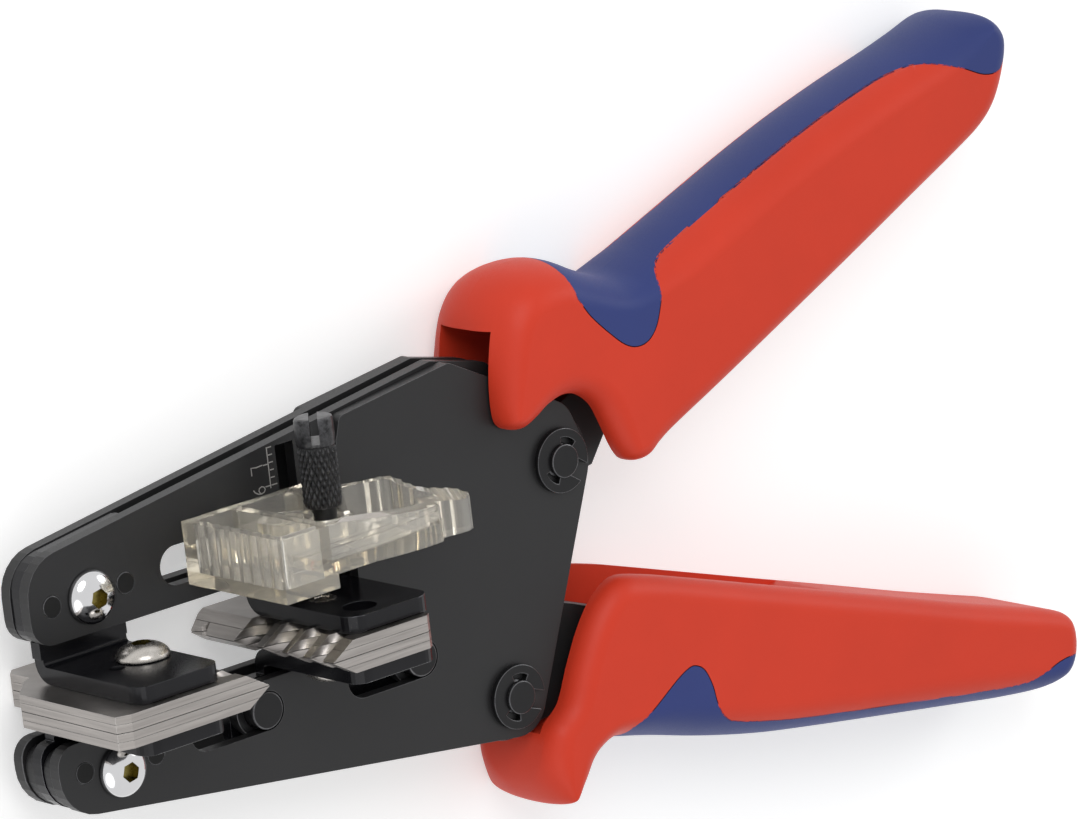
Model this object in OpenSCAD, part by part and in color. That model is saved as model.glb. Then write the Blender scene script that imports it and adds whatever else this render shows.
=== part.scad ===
// Automatic wire stripper, lying on its back.
// X runs from the jaws to the handles, Y from the lower arm to the upper arm,
// Z up through the plates. The working frame has its origin on the upper handle
// pin at the middle of the plate stack, and place() moves it to the base frame.

/* [Head] */
// Length that the outlines of the steel head are shares of
head_length = 100; // [97:0.5:103]
// Thickness of each steel plate
plate_t = 2; // [1.8:0.05:2.05]
// Gap between neighbouring layers of plate
layer_gap = 0.08; // [0.05:0.01:0.12]
// Distance in plan from the upper handle pin back to the lower one
lower_pin_back = 12.9; // [12.5:0.1:13.3]
// Distance in plan from the upper handle pin down to the lower one, which the levels of
// the head follow
lower_pin_drop = 31.8; // [31.5:0.1:32.1]

/* [Pins and screws] */
// Diameter of the two handle pins
pivot_pin_d = 4.9; // [4.6:0.1:5]
// Length of the handle pins past each face of the plates
pivot_pin_reach = 1.5; // [1.3:0.1:1.8]
// Diameter of the jaw guide pins
guide_pin_d = 5.4; // [5:0.1:5.5]
// Diameter of the rivets
rivet_d = 3; // [2.6:0.1:3.2]
// Shank diameter of the button head screws
screw_d = 4; // [3.6:0.1:4.2]
// Head diameter of the button head screws
screw_head_d = 7.6; // [7.2:0.1:8]
// Head height of the button head screws
screw_head_h = 2.2; // [2:0.1:2.4]
// Radial clearance of a pin in its bore
pin_clearance = 0.05; // [0.03:0.01:0.08]
// Outer diameter of the spring clips on the handle pins
clip_d = 9.4; // [9:0.1:9.8]
// Thickness of the spring clips
clip_t = 0.9; // [0.7:0.05:1]

/* [Jaws] */
// Thickness of one jaw plate, four of which make a jaw
jaw_plate_t = 1.15; // [1.1:0.05:1.15]
// Gap between the jaw plates
jaw_plate_gap = 0.05; // [0.03:0.01:0.06]
// Level of the plane where the blades meet the clamps, below the upper pin
jaw_drop = 11.8; // [11.7:0.05:11.9]
// Open gap between the left and right jaws
jaw_gap = 11; // [10.6:0.1:11.2]
// Gap left between the jaws when they are closed
jaw_closed_gap = 0.2; // [0.15:0.05:0.4]
// Length of the left jaw plates
left_jaw_l = 25.4; // [25:0.1:25.8]
// Length of the right jaw plates
right_jaw_l = 17.9; // [17.5:0.1:18]
// Reach of the jaws in front of the middle of the plates
jaw_front = 23.8; // [23:0.1:24.6]
// Reach of the jaw lugs behind the middle of the plates
jaw_rear = 9.7; // [9.4:0.1:10]
// How far the form faces slope back from the edge
jaw_bevel = 3.9; // [3.6:0.1:4.2]
// Wire sizes of the four form grooves, as diameters, rear to front
groove_d = [5.2, 4.4, 3.5, 2.8]; // [2.4:0.1:5.4]

/* [Brackets] */
// Thickness of the bent flat of each jaw bracket
flat_t = 2.4; // [2.2:0.1:2.5]
// Reach of the flats in front of the middle of the plates
flat_front = 22.4; // [22:0.1:22.8]
// Outer radius of the brackets' bend
bend_r = 3; // [2.6:0.1:3.1]

/* [Handles] */
// Length that the outlines of the grips are shares of
grip_reach = 100; // [98:0.5:102]
// Thickness of the grips
grip_t = 19.4; // [19.2:0.1:20]
// Edge rounding of the grips
grip_edge_r = 3.4; // [3:0.1:3.6]
// Depth of the crown on the grips' outer sides
crown_depth = 6; // [5:0.5:6.5]
// Width of the channel in the grips that takes the plates
channel_w = 11; // [10.8:0.1:11.4]

/* [Length stop] */
// Height of the clear stop
stop_h = 9; // [8.6:0.1:9.4]
// Wall thickness of the clear stop
stop_wall = 1.7; // [1.5:0.1:1.9]
// Diameter of the knurled screw
knob_d = 5.6; // [5.2:0.1:5.8]
// Height of the knurled screw above the stop
knob_h = 14.5; // [14:0.5:15.5]

/* [Hidden] */

// Smoothness of true circles, of hidden small ones, and steps of a corner arc
fine = 64;
medium = 40;
arc_steps = 6;
// One overrun for every cut
cut = 1;

// The five layers of the plate stack, counted from the rear
layer_pitch = plate_t + layer_gap;
layer_count = 5;
stack_half = 2 * layer_pitch + plate_t / 2;
function layer_z(k) = (k - (layer_count + 1) / 2) * layer_pitch - plate_t / 2;

// Places of the two handle pins
upper_pin = [0, 0];
lower_pin = [-lower_pin_back, -lower_pin_drop];
pivot_r = pivot_pin_d / 2;
bore_r = pivot_r + pin_clearance;
pin_half = stack_half + pivot_pin_reach;

// Head outlines: shares of head_length in X, and of the drop between the pins in Y and for
// each corner's radius
arm_end_share = -0.930;
side_plate_shares = [
    [-0.930, -0.858, 0.204], [-0.092, -1.208, 0.157], [0.059, -0.031, 0.189],
    [0.026, 0.239, 0.157], [-0.180, 0.588, 0.047], [-0.383, 0.500, 0.038],
    [-0.404, 0.283, 0.314], [-0.383, -0.094, 0.189]
];
arm_plate_shares = [
    [-0.928, -0.119, 0.110], [-0.255, -0.119, 0.063], [-0.240, 0.132, 0.047],
    [-0.040, 0.132, 0.016], [0.030, 0.195, 0.006], [-0.100, 0.528, 0.126],
    [-0.196, 0.601, 0.031], [-0.928, 0.252, 0.189]
];
arm_filler_shares = [
    [-0.926, -0.113, 0.094], [-0.905, -0.113, 0.003], [-0.905, -0.189, 0.003],
    [-0.758, -0.189, 0.003], [-0.758, -0.113, 0.003], [-0.730, -0.113, 0.047],
    [-0.730, 0.340, 0.047], [-0.926, 0.248, 0.173]
];
lower_filler_shares = [
    [-0.928, -0.852, 0.189], [-0.730, -0.934, 0.047], [-0.730, -0.553, 0.031],
    [-0.767, -0.553, 0.003], [-0.767, -0.503, 0.003], [-0.896, -0.503, 0.003],
    [-0.896, -0.553, 0.003], [-0.928, -0.553, 0.079]
];
lower_spacer_shares = [
    [-0.926, -0.849, 0.182], [-0.735, -0.928, 0.047], [-0.735, -0.579, 0.031],
    [-0.926, -0.579, 0.088]
];
hub_r = 6.8;
arm_root_share = -0.383;
plate_left_share = -0.404;

// Jaw levels: blades lie above the dividing plane and clamps below it
jaw_pitch = jaw_plate_t + jaw_plate_gap;
jaw_half = 2 * jaw_pitch;
divide_y = -jaw_drop;
left_tip_share = -0.697;
left_tip = left_tip_share * head_length;
right_tip = left_tip + jaw_gap;
jaw_travel = jaw_gap - jaw_closed_gap;
blade_flat_y = divide_y + jaw_half;
clamp_flat_y = divide_y - jaw_half;

// Upper edge of the lower arm, clear of the flats above it
arm_clearance = 0.8;
root_corner_share = 0.063;
end_corner_share = 0.094;
lower_arm_top = clamp_flat_y - flat_t - arm_clearance;
side_plate_points = concat(head_points(side_plate_shares), [
    [arm_root_share * head_length, lower_arm_top, root_corner_share * lower_pin_drop],
    [arm_end_share * head_length, lower_arm_top, end_corner_share * lower_pin_drop]
]);

// Outlines of the jaws seen from above, as shares of each jaw's length back from
// the edge, and of its front or rear reach
left_plan_shares = [
    [0, 1], [0.92, 1], [1, 0.965], [1, 0.06], [0.965, 0.015]
];
left_lug_shares = [
    [0.83, -0.34], [0.775, -0.42], [0.78, -0.86], [0.73, -1], [0.50, -1],
    [0.47, -0.80], [0.40, -0.74], [0.36, -0.42], [0, -0.40]
];
right_plan_shares = [
    [0, 1], [0.95, 1], [1, 0.97], [1, 0.03]
];
right_lug_shares = [
    [0.94, -0.42], [0.90, -0.94], [0.80, -1], [0.16, -1], [0.02, -0.86],
    [0.06, -0.70], [0.12, -0.62], [0, -0.48]
];
// Places of the four grooves as shares of the front reach
groove_z_share = [0.17, 0.43, 0.645, 0.84];

// Guide pins and the slots that they run in
guide_r = guide_pin_d / 2;
slot_clearance = 2 * pin_clearance;
slot_r = guide_r + slot_clearance;
guide_x_shares = [-0.568, -0.288];
guide_x = guide_x_shares * head_length;
upper_slot_y_share = 0.0566;
upper_slot_y = upper_slot_y_share * lower_pin_drop;
lower_slot_drop = 4.4;
lower_slot_y = lower_arm_top - lower_slot_drop;

// Sliders, whose flats carry the right jaws
slider_left_share = -0.605;
slider_left = slider_left_share * head_length;
blade_slider_shares = [-0.110, 0.182];
blade_slider_y = blade_slider_shares * lower_pin_drop;
slider_flat_shares = [0.285, 1.089];
slider_flat_x = [for (q = slider_flat_shares) right_tip + q * right_jaw_l];
left_flat_shares = [-0.807, -0.248];
left_flat_x = [for (q = left_flat_shares) left_tip + q * left_jaw_l];
leg_root_shares = [-0.132, -0.582];
leg_root_y = leg_root_shares * lower_pin_drop;
slider_corner_r = 0.8;
flat_corner_r = 2.5;
flat_inner_r = 0.6;

// Fasteners: rivets and screws through the arms, and screws through the flats
arm_rivet_shares = [[-0.890, 0.047], [-0.765, 0.050]];
arm_rivets = [for (p = arm_rivet_shares) head_point(p)];
arm_screw_share = [-0.825, 0.038];
arm_screw = head_point(arm_screw_share);
frame_rivet_shares = [[-0.887, -0.686], [-0.766, -0.708]];
frame_rivets = [for (p = frame_rivet_shares) head_point(p)];
frame_screw_share = [-0.826, -0.726];
frame_screw = head_point(frame_screw_share);
left_jaw_screw_share = 0.42;
left_screw_back_share = 0.41;
left_jaw_screw = [left_tip - left_screw_back_share * left_jaw_l, left_jaw_screw_share * jaw_front];
right_jaw_screw_share = 0.42;
right_jaw_screw = [right_tip + 0.56 * right_jaw_l, right_jaw_screw_share * jaw_front];
flat_hole_share = 0.76;
flat_hole = [right_jaw_screw.x, flat_hole_share * jaw_front];
flat_hole_r = 2.4;
locating_hole_r = 1.1;
locating_step = 5.2;
screw_r = screw_d / 2;
screw_clearance = 0.05;
screw_bore_r = screw_r + screw_clearance;
head_r = screw_head_d / 2;
head_dome_share = 0.62;
socket_r = 0.33 * head_r;
socket_depth = 0.6 * screw_head_h;
rivet_r = rivet_d / 2;
rivet_proud = 0.5 * layer_gap;
seat_gap = 0.02;

// Spring clips on the handle pins
clip_r = clip_d / 2;
clip_slot_share = 0.62;
clip_seat = 0.04;

// Levers: a nose that pushes a slider, a hub on the pin and a tang in the grip
nose_r = 2.4;
upper_nose_share = 0.8113;
upper_nose_l = upper_nose_share * lower_pin_drop;
upper_nose_angle = 12.3;
lower_nose_share = 0.9434;
lower_nose_l = lower_nose_share * lower_pin_drop;
lower_nose_angle = 5.2;
nose_root_r = 4;
nose_tip_share = 0.97;
drive_pin_r = 1.2;
drive_roller_r = 2.1;
nose_gap = 0.1;
upper_nose = upper_pin + upper_nose_l * [-sin(upper_nose_angle), -cos(upper_nose_angle)];
lower_nose = lower_pin + lower_nose_l * [sin(lower_nose_angle), cos(lower_nose_angle)];
blade_slider_right = lower_nose.x - drive_roller_r - nose_gap;
clamp_slider_right = upper_nose.x - nose_r - nose_gap;
upper_tang_shares = [
    [-0.020, 0.060], [0.025, 0.057], [0.110, 0.098], [0.520, 0.262], [0.575, 0.240],
    [0.560, 0.206], [0.130, 0.012], [0.095, -0.035], [0.042, -0.046]
];
lower_tang_shares = [
    [0.010, 0.062], [0.110, 0.110], [0.240, 0.060], [0.640, -0.085], [0.660, -0.115],
    [0.630, -0.140], [0.210, -0.035], [0.040, -0.058]
];
tang_clearance = 0.1;

// Return spring of the handles, a flat spiral on the lower pin
spring_wire = 0.9;
spring_clearance = 0.35;
spring_inner_r = pivot_r + spring_clearance;
spring_pitch = 1.25 * spring_wire;
spring_turns = 1.5;
spring_half_h = 0.42 * plate_t;
spring_steps = 36;
spring_outer_r = spring_inner_r + spring_pitch * spring_turns + 0.75 * spring_wire;
spring_side_gap = 0.44;
slider_step = 0.6;
clamp_slider_y = [lower_pin.y + spring_outer_r + spring_side_gap, lower_arm_top - slider_step];

// Grip outlines as shares of grip_reach, measured from each handle's own pin
upper_grip_shares = [
    [-0.116, 0.096], [-0.115, 0.155], [-0.105, 0.220], [-0.084, 0.260], [-0.050, 0.283],
    [-0.005, 0.290], [0.040, 0.283], [0.088, 0.258], [0.143, 0.238], [0.200, 0.254],
    [0.261, 0.278], [0.382, 0.325], [0.561, 0.389], [0.756, 0.443], [0.865, 0.473],
    [0.906, 0.468], [0.927, 0.433], [0.922, 0.392], [0.900, 0.338], [0.868, 0.300],
    [0.581, 0.172], [0.306, 0.048], [0.187, -0.004], [0.145, -0.028], [0.112, -0.026],
    [0.094, -0.004], [0.078, 0.036], [0.062, 0.069], [0.036, 0.090], [0.004, 0.097],
    [-0.028, 0.090], [-0.056, 0.076], [-0.082, 0.068], [-0.106, 0.075]
];
lower_grip_shares = [
    [1.080, -0.168], [1.087, -0.215], [1.070, -0.258], [1.030, -0.276], [0.960, -0.272],
    [0.786, -0.245], [0.468, -0.192], [0.330, -0.158], [0.200, -0.122], [0.160, -0.113],
    [0.124, -0.126], [0.097, -0.152], [0.068, -0.178], [0.043, -0.176], [0.025, -0.142],
    [0.024, -0.100], [0.038, -0.058], [0.071, -0.030], [0.095, 0.018], [0.123, 0.068],
    [0.155, 0.106], [0.195, 0.127], [0.249, 0.117], [0.440, 0.054], [0.724, -0.041],
    [1.037, -0.144]
];
upper_inlay_shares = [
    [0.025, 0.360], [0.032, 0.234], [0.052, 0.204], [0.084, 0.171], [0.110, 0.149],
    [0.132, 0.141], [0.154, 0.145], [0.172, 0.163], [0.186, 0.196], [0.196, 0.232],
    [0.225, 0.259], [0.262, 0.272], [0.384, 0.320], [0.563, 0.383], [0.690, 0.419],
    [0.760, 0.424], [0.815, 0.406], [0.862, 0.386], [0.895, 0.386], [0.922, 0.404],
    [0.960, 0.410], [0.960, 0.560]
];
lower_inlay_shares = [
    [0.160, -0.180], [0.181, -0.093], [0.223, -0.069], [0.266, -0.042], [0.290, -0.031],
    [0.304, -0.031], [0.320, -0.042], [0.332, -0.069], [0.339, -0.101], [0.355, -0.124],
    [0.385, -0.140], [0.500, -0.168], [0.690, -0.200], [0.860, -0.228], [0.955, -0.240],
    [0.992, -0.234], [1.028, -0.223], [1.062, -0.220], [1.110, -0.226], [1.110, -0.340]
];
// Channel that clears the plates, and the part of it that stays open along the grip
upper_channel_shares = [
    [-0.150, -0.060], [-0.150, 0.213], [0.075, 0.213], [0.080, 0.100], [0.130, 0.070],
    [0.330, 0.070], [0.560, 0.150], [0.600, 0.100], [0.150, -0.080]
];
lower_channel_shares = [
    [-0.030, -0.066], [0.065, -0.066], [0.130, 0.000], [0.205, 0.050], [0.560, -0.010],
    [0.620, 0.000], [0.300, 0.250], [-0.030, 0.250]
];
edge_steps = 4;
curve_steps = 3;
// Share of the local bend that an inset may take, and a bend that counts as straight
inset_share = 0.75;
crown_from_share = 0.3;
upper_outer = unit([-0.399, 0.917]);
lower_outer = unit([-0.315, -0.949]);
flat_share = 0.001;

// Clear length stop, in the working frame
stop_y_share = -0.044;
stop_y = stop_y_share * lower_pin_drop;
stop_clearance = 0.1;
stop_back = stack_half - layer_pitch + stop_clearance;
stop_plan_shares = [
    [0, 0], [0, 1], [0.378, 0.996], [0.581, 0.975], [0.730, 0.938], [0.838, 0.920],
    [0.930, 0.901], [0.984, 0.846], [1, 0.773], [0.978, 0.690], [0.919, 0.653],
    [0.860, 0.616], [0.832, 0.524], [0.827, 0.433], [0.784, 0.355], [0.703, 0.313],
    [0.638, 0.258], [0.622, 0.130], [0.622, 0]
];
stop_length = 37;
stop_depth = 21.8;
// The stop's rear wall ends clear of the front side plate
stop_wall_share = 0.622;
stop_side_gap = 2.6;
stop_x = plate_left_share * head_length - stop_side_gap - stop_wall_share * stop_length;
stop_step_x_share = 0.25;
stop_step_h = 0.22 * stop_h;
knob_place_shares = [0.516, 0.335];
knob_x = stop_x + knob_place_shares[0] * stop_length;
knob_z = stop_back + knob_place_shares[1] * stop_depth;
knob_y = stop_y + 0.62 * stop_h;
knob_r = knob_d / 2;
knob_neck_r = 0.62 * knob_r;
knob_neck_h = 0.12 * knob_h;
knob_tail_l = 2.4;
knob_head_h = 0.27 * knob_h;
knob_slot_w = 0.22 * knob_d;
knob_slot_depth = 0.14 * knob_h;
knurl_depth = 0.07 * knob_r;
knurl_count = 18;
knob_bore_r = knob_neck_r + pin_clearance;
boss_r = 1.5 * knob_r;
spare_boss_shares = [0.332, 0.359];
spare_boss_at = [stop_x + spare_boss_shares[0] * stop_length, stop_back + spare_boss_shares[1] * stop_depth];
spare_boss_r = 1.28 * knob_r;
spare_boss_y = stop_y + 0.82 * stop_h;
boss_wall = 1.3;
boss_recess = 0.3 * stop_wall;

// Key of the stop, which runs in a slot of the front arm plate
key_w = 3;
key_l = 6;
key_x = knob_x;
key_y = stop_y + stop_step_h;
key_clearance = 0.1;
key_end_gap = 0.2;
stop_travel = [-2.2, 7.2];
key_slot_y = [key_y + stop_travel[0] - key_end_gap, key_y + key_l + stop_travel[1] + key_end_gap];
key_back = layer_z(4) + key_clearance;

// Outline helpers

function unit(v) = v / norm(v);

function flat_point(p) = [p.x, p.y];

// Points of the arc of radius r that rounds the corner b between a and c
function corner_arc(a, b, c, r) =
    let (
        u = unit(a - b),
        w = unit(c - b),
        half = acos(u * w) / 2,
        centre = b + unit(u + w) * r / sin(half),
        first = b + u * r / tan(half) - centre,
        last = b + w * r / tan(half) - centre,
        start = atan2(first.y, first.x),
        swing = atan2(last.y, last.x) - start,
        turn = swing > 180 ? swing - 360 : swing < -180 ? swing + 360 : swing
    )
    [for (i = [0 : arc_steps])
        centre + r * [cos(start + turn * i / arc_steps), sin(start + turn * i / arc_steps)]];

// A polygon whose corners are rounded by the third number of each point
function rounded(points) =
    let (n = len(points))
    [for (i = [0 : n - 1])
        each corner_arc(flat_point(points[(i + n - 1) % n]), flat_point(points[i]),
                        flat_point(points[(i + 1) % n]), points[i][2])];

function sized(shares, size) = [for (p = shares) p * size];

// Places and corner radii on the head
function head_point(p) = [p.x * head_length, p.y * lower_pin_drop];
function head_points(shares) = [for (p = shares) [p.x * head_length, p.y * lower_pin_drop, p[2] * lower_pin_drop]];

// Point of a smooth closed curve through p1 and p2
function blend_point(p0, p1, p2, p3, t) =
    (2 * p1 + (p2 - p0) * t + (2 * p0 - 5 * p1 + 4 * p2 - p3) * pow(t, 2)
     + (3 * p1 - p0 - 3 * p2 + p3) * pow(t, 3)) / 2;

function smooth(points, steps) =
    let (n = len(points))
    [for (i = [0 : n - 1], k = [0 : steps - 1])
        blend_point(points[(i + n - 1) % n], points[i], points[(i + 1) % n],
                    points[(i + 2) % n], k / steps)];

function normal_at(points, i) =
    let (n = len(points), d = unit(points[(i + 1) % n] - points[(i + n - 1) % n]))
    [d.y, -d.x];

// Step that keeps both sides of a corner at the same distance inside
function mitre_at(points, i) =
    let (n = len(points), u = unit(points[i] - points[(i + n - 1) % n]), w = unit(points[(i + 1) % n] - points[i]),
         a = [u.y, -u.x], b = [w.y, -w.x])
    (a + b) / (1 + a * b);

// Radius of the circle through a point and its two neighbours
function bend_at(points, i) =
    let (n = len(points), a = points[(i + n - 1) % n], b = points[i], c = points[(i + 1) % n],
         area = abs((b - a).x * (c - a).y - (b - a).y * (c - a).x) / 2)
    norm(b - a) * norm(c - b) * norm(c - a) / (4 * area + flat_share * norm(c - a) * norm(c - a));

// Distances inwards for each point, less where the outline bends tighter than that
function depths(points, wanted) =
    let (n = len(points), bends = [for (i = [0 : n - 1]) bend_at(points, i)])
    [for (i = [0 : n - 1])
        min(wanted[i], inset_share * min([for (k = [-2 : 2]) bends[(i + k + n) % n]]))];

// How far a point of the outline faces outer: 0 for not at all, 1 for fully
function crown_at(points, i, outer) =
    max(0, min(1, (-normal_at(points, i) * outer - crown_from_share) / (1 - crown_from_share - crown_from_share)));

// Range of one coordinate over a list of points
function lowest(points, k) = min([for (p = points) p[k]]);
function highest(points, k) = max([for (p = points) p[k]]);

// Base frame: under the middle of the whole object
upper_grip_points = [for (p = smooth(sized(upper_grip_shares, grip_reach), curve_steps)) upper_pin + p];
lower_grip_points = [for (p = smooth(sized(lower_grip_shares, grip_reach), curve_steps)) lower_pin + p];
grip_half = grip_t / 2;
whole_left = left_tip - left_jaw_l;
whole_right = max(highest(upper_grip_points, 0), highest(lower_grip_points, 0));
whole_low = min(lowest(lower_grip_points, 1), lowest(upper_grip_points, 1));
whole_high = max(highest(upper_grip_points, 1), highest(lower_grip_points, 1));
base = [-(whole_left + whole_right) / 2, -(whole_low + whole_high) / 2, max(grip_half, jaw_rear)];

module place() {
    translate(base) children();
}

// A plate in one layer of the stack
module layer(k) {
    translate([0, 0, layer_z(k)]) linear_extrude(plate_t) children();
}

// A drill through the whole stack
module drill(at, r) {
    translate([at.x, at.y, -stack_half - cut])
        cylinder(r = r, h = 2 * (stack_half + cut), $fn = fine);
}

// A slot along X through the whole stack, for a guide pin that rests at its right end
module guide_slot(x, y) {
    translate([0, 0, -stack_half - cut]) linear_extrude(2 * (stack_half + cut)) {
        translate([x, y]) circle(r = slot_r, $fn = fine);
        translate([x - jaw_travel, y]) circle(r = slot_r, $fn = fine);
        translate([x - jaw_travel, y - slot_r]) square([jaw_travel, 2 * slot_r]);
    }
}

// A prism along Y from y0 to y1 over an outline in X and Z
module plan_prism(points, y0, y1) {
    translate([0, y1, 0]) rotate([90, 0, 0]) linear_extrude(y1 - y0) polygon(points);
}

// A button head screw along +Z with its head's seat at zero
module button_screw(shank_l) {
    difference() {
        union() {
            translate([0, 0, -shank_l]) cylinder(r = screw_r, h = shank_l + seat_gap, $fn = fine);
            translate([0, 0, seat_gap]) rotate_extrude($fn = fine) polygon([
                [0, 0], [head_r, 0], [head_r, 0.12 * screw_head_h],
                for (a = [15 : 15 : 75]) [head_r * (head_dome_share + (1 - head_dome_share) * cos(a)),
                                          screw_head_h * (0.12 + 0.88 * sin(a))],
                [0.5 * head_r, screw_head_h], [0, screw_head_h]
            ]);
        }
        translate([0, 0, screw_head_h + seat_gap - socket_depth])
            cylinder(r = socket_r, h = socket_depth + cut, $fn = 6);
    }
}

// Head: side plates, spacers and what is fixed to them

module side_plate(k) {
    difference() {
        layer(k) polygon(rounded(side_plate_points));
        drill(upper_pin, bore_r);
        drill(lower_pin, bore_r);
        for (x = guide_x) guide_slot(x, lower_slot_y);
        for (p = frame_rivets) drill(p, rivet_r + screw_clearance);
        drill(frame_screw, screw_bore_r);
    }
}

module rear_side_plate() color([0.20, 0.20, 0.21]) place() side_plate(1);

module front_side_plate() color([0.20, 0.20, 0.21]) place() side_plate(5);

module lower_arm_spacers() color([0.22, 0.22, 0.23]) place() difference() {
    for (k = [2, 4]) layer(k) polygon(rounded(head_points(lower_spacer_shares)));
    for (p = frame_rivets) drill(p, rivet_r + screw_clearance);
    drill(frame_screw, screw_bore_r);
}

// The bent flat of a bracket. side is 1 where the leg comes from above and -1 from below.
module bent_flat(x, seat_y, side, leg_y) {
    half_t = plate_t / 2;
    far_y = seat_y + side * flat_t;
    section = rounded([
        [leg_y, -half_t, 0.01 * flat_t], [seat_y, -half_t, bend_r],
        [seat_y, flat_front, 0.1 * flat_t], [far_y, flat_front, 0.1 * flat_t],
        [far_y, half_t, flat_inner_r], [leg_y, half_t, 0.01 * flat_t]
    ]);
    plan = rounded([
        [x[0], -half_t - cut, 0.1 * flat_t], [x[1], -half_t - cut, 0.1 * flat_t],
        [x[1], flat_front, flat_corner_r], [x[0], flat_front, flat_corner_r]
    ]);
    low = min(seat_y, leg_y, far_y) - cut;
    high = max(seat_y, leg_y, far_y) + cut;
    intersection() {
        translate([x[0], 0, 0]) rotate([90, 0, 90]) linear_extrude(x[1] - x[0]) polygon(section);
        plan_prism(plan, low, high);
    }
}

// A hole along Y through a flat or a jaw
module flat_drill(at, r) {
    translate([at.x, divide_y - jaw_half - 2 * flat_t, at.y]) rotate([-90, 0, 0])
        cylinder(r = r, h = 2 * jaw_half + 4 * flat_t, $fn = fine);
}

module left_clamp_bracket() color([0.12, 0.12, 0.13]) place() difference() {
    union() {
        layer(3) polygon(rounded(head_points(lower_filler_shares)));
        bent_flat(left_flat_x, clamp_flat_y, -1, leg_root_y[1]);
    }
    for (p = frame_rivets) drill(p, rivet_r + screw_clearance);
    drill(frame_screw, screw_bore_r);
    flat_drill(left_jaw_screw, screw_bore_r);
}

// X of a form face at the height y, for a jaw whose edge is at tip and whose body
// lies on the side that away points to
function face_x(tip, away, y) = tip + away * jaw_bevel * abs(y - divide_y) / jaw_half;

function jaw_plan(tip, away, length, front_shares, rear_shares) = concat(
    [for (p = front_shares) [tip + away * length * p.x, p.y * jaw_front]],
    [for (p = rear_shares) [tip + away * length * p.x, p.y * jaw_rear]]
);

// One plate of a jaw: the slice from y0 to y1 of the bevelled block, with its grooves
module jaw_plate(tip, away, plan, hole, y0, y1) {
    reach = 2 * (left_jaw_l + jaw_bevel);
    side = (y0 + y1) / 2 > divide_y ? 1 : -1;
    tilt = atan2(jaw_bevel, jaw_half);
    difference() {
        intersection() {
            translate([0, 0, -jaw_rear - cut]) linear_extrude(jaw_front + jaw_rear + 2 * cut) polygon([
                [face_x(tip, away, y0), y0], [tip + away * reach, y0],
                [tip + away * reach, y1], [face_x(tip, away, y1), y1]
            ]);
            plan_prism(plan, y0 - cut, y1 + cut);
        }
        for (i = [0 : len(groove_d) - 1])
            translate([tip, divide_y, groove_z_share[i] * jaw_front])
                rotate([0, 0, -side * away * tilt]) rotate([-90, 0, 0])
                    translate([0, 0, -2 * jaw_bevel])
                        cylinder(r = groove_d[i] / 2, h = 6 * jaw_bevel, $fn = medium);
        flat_drill(hole, screw_bore_r);
    }
}

// The two plates on one side of the dividing plane
module jaw_pair(tip, away, plan, hole, side) {
    for (i = [0, 1]) {
        inner = divide_y + side * (jaw_plate_gap + i * jaw_pitch);
        outer = inner + side * (jaw_plate_t - (i == 1 ? jaw_plate_gap : 0));
        jaw_plate(tip, away, plan, hole, min(inner, outer), max(inner, outer));
    }
}

left_plan = jaw_plan(left_tip, -1, left_jaw_l, left_plan_shares, left_lug_shares);
right_plan = jaw_plan(right_tip, 1, right_jaw_l, right_plan_shares, right_lug_shares);

module left_clamp_plates() color([0.70, 0.69, 0.66]) place()
    jaw_pair(left_tip, -1, left_plan, left_jaw_screw, -1);

// A screw through a flat and the two jaw plates on it
module jaw_screw(at, side) {
    shank_l = flat_t + jaw_half - 2 * jaw_plate_gap;
    translate([at.x, divide_y + side * (jaw_half + flat_t), at.y])
        rotate([-90 * side, 0, 0]) button_screw(shank_l);
}

module left_clamp_screw() color([0.75, 0.74, 0.72]) place() jaw_screw(left_jaw_screw, -1);

module rivets(places, half) {
    for (p = places) translate([p.x, p.y, -half - rivet_proud])
        cylinder(r = rivet_r, h = 2 * (half + rivet_proud), $fn = fine);
}

module lower_arm_rivets() color([0.16, 0.16, 0.17]) place() rivets(frame_rivets, stack_half);

module plate_screw(at, half) {
    translate([at.x, at.y, half]) button_screw(2 * half);
}

module lower_arm_screw() color([0.80, 0.80, 0.80]) place() plate_screw(frame_screw, stack_half);

// A handle pin, turned smaller at each end where its clip sits
module handle_pin(at) {
    groove_r = 0.86 * pivot_r;
    clip_z = stack_half + clip_seat;
    translate([at.x, at.y, 0]) difference() {
        translate([0, 0, -pin_half]) cylinder(r = pivot_r, h = 2 * pin_half, $fn = fine);
        for (z = [clip_z, -clip_z - clip_t]) translate([0, 0, z]) difference() {
            cylinder(r = pivot_r + cut, h = clip_t, $fn = fine);
            translate([0, 0, -cut]) cylinder(r = groove_r, h = clip_t + 2 * cut, $fn = fine);
        }
    }
}

module upper_handle_pin() color([0.17, 0.17, 0.18]) place() handle_pin(upper_pin);

module lower_handle_pin() color([0.17, 0.17, 0.18]) place() handle_pin(lower_pin);

// An E-shaped clip: a ring open on one side, with relief beside its three tongues
module clip(turn) {
    inner_r = 0.86 * pivot_r + seat_gap;
    relief_r = 0.5 * (inner_r + clip_r);
    rotate([0, 0, turn]) linear_extrude(clip_t) difference() {
        circle(r = clip_r, $fn = fine);
        circle(r = inner_r, $fn = fine);
        translate([0, -inner_r * clip_slot_share]) square([2 * clip_r, 2 * inner_r * clip_slot_share]);
        for (side = [-1, 1]) rotate([0, 0, side * 100]) intersection() {
            difference() {
                circle(r = relief_r, $fn = fine);
                circle(r = 0.5 * inner_r, $fn = fine);
            }
            polygon([[0, 0], [2 * clip_r, -0.9 * clip_r], [2 * clip_r, 0.9 * clip_r]]);
        }
    }
}

module pin_clips() color([0.14, 0.14, 0.15]) place() {
    clip_z = stack_half + clip_seat;
    for (p = [upper_pin, lower_pin], z = [clip_z, -clip_z - clip_t])
        translate([p.x, p.y, z]) clip(p == upper_pin ? -35 : -20);
}

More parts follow.
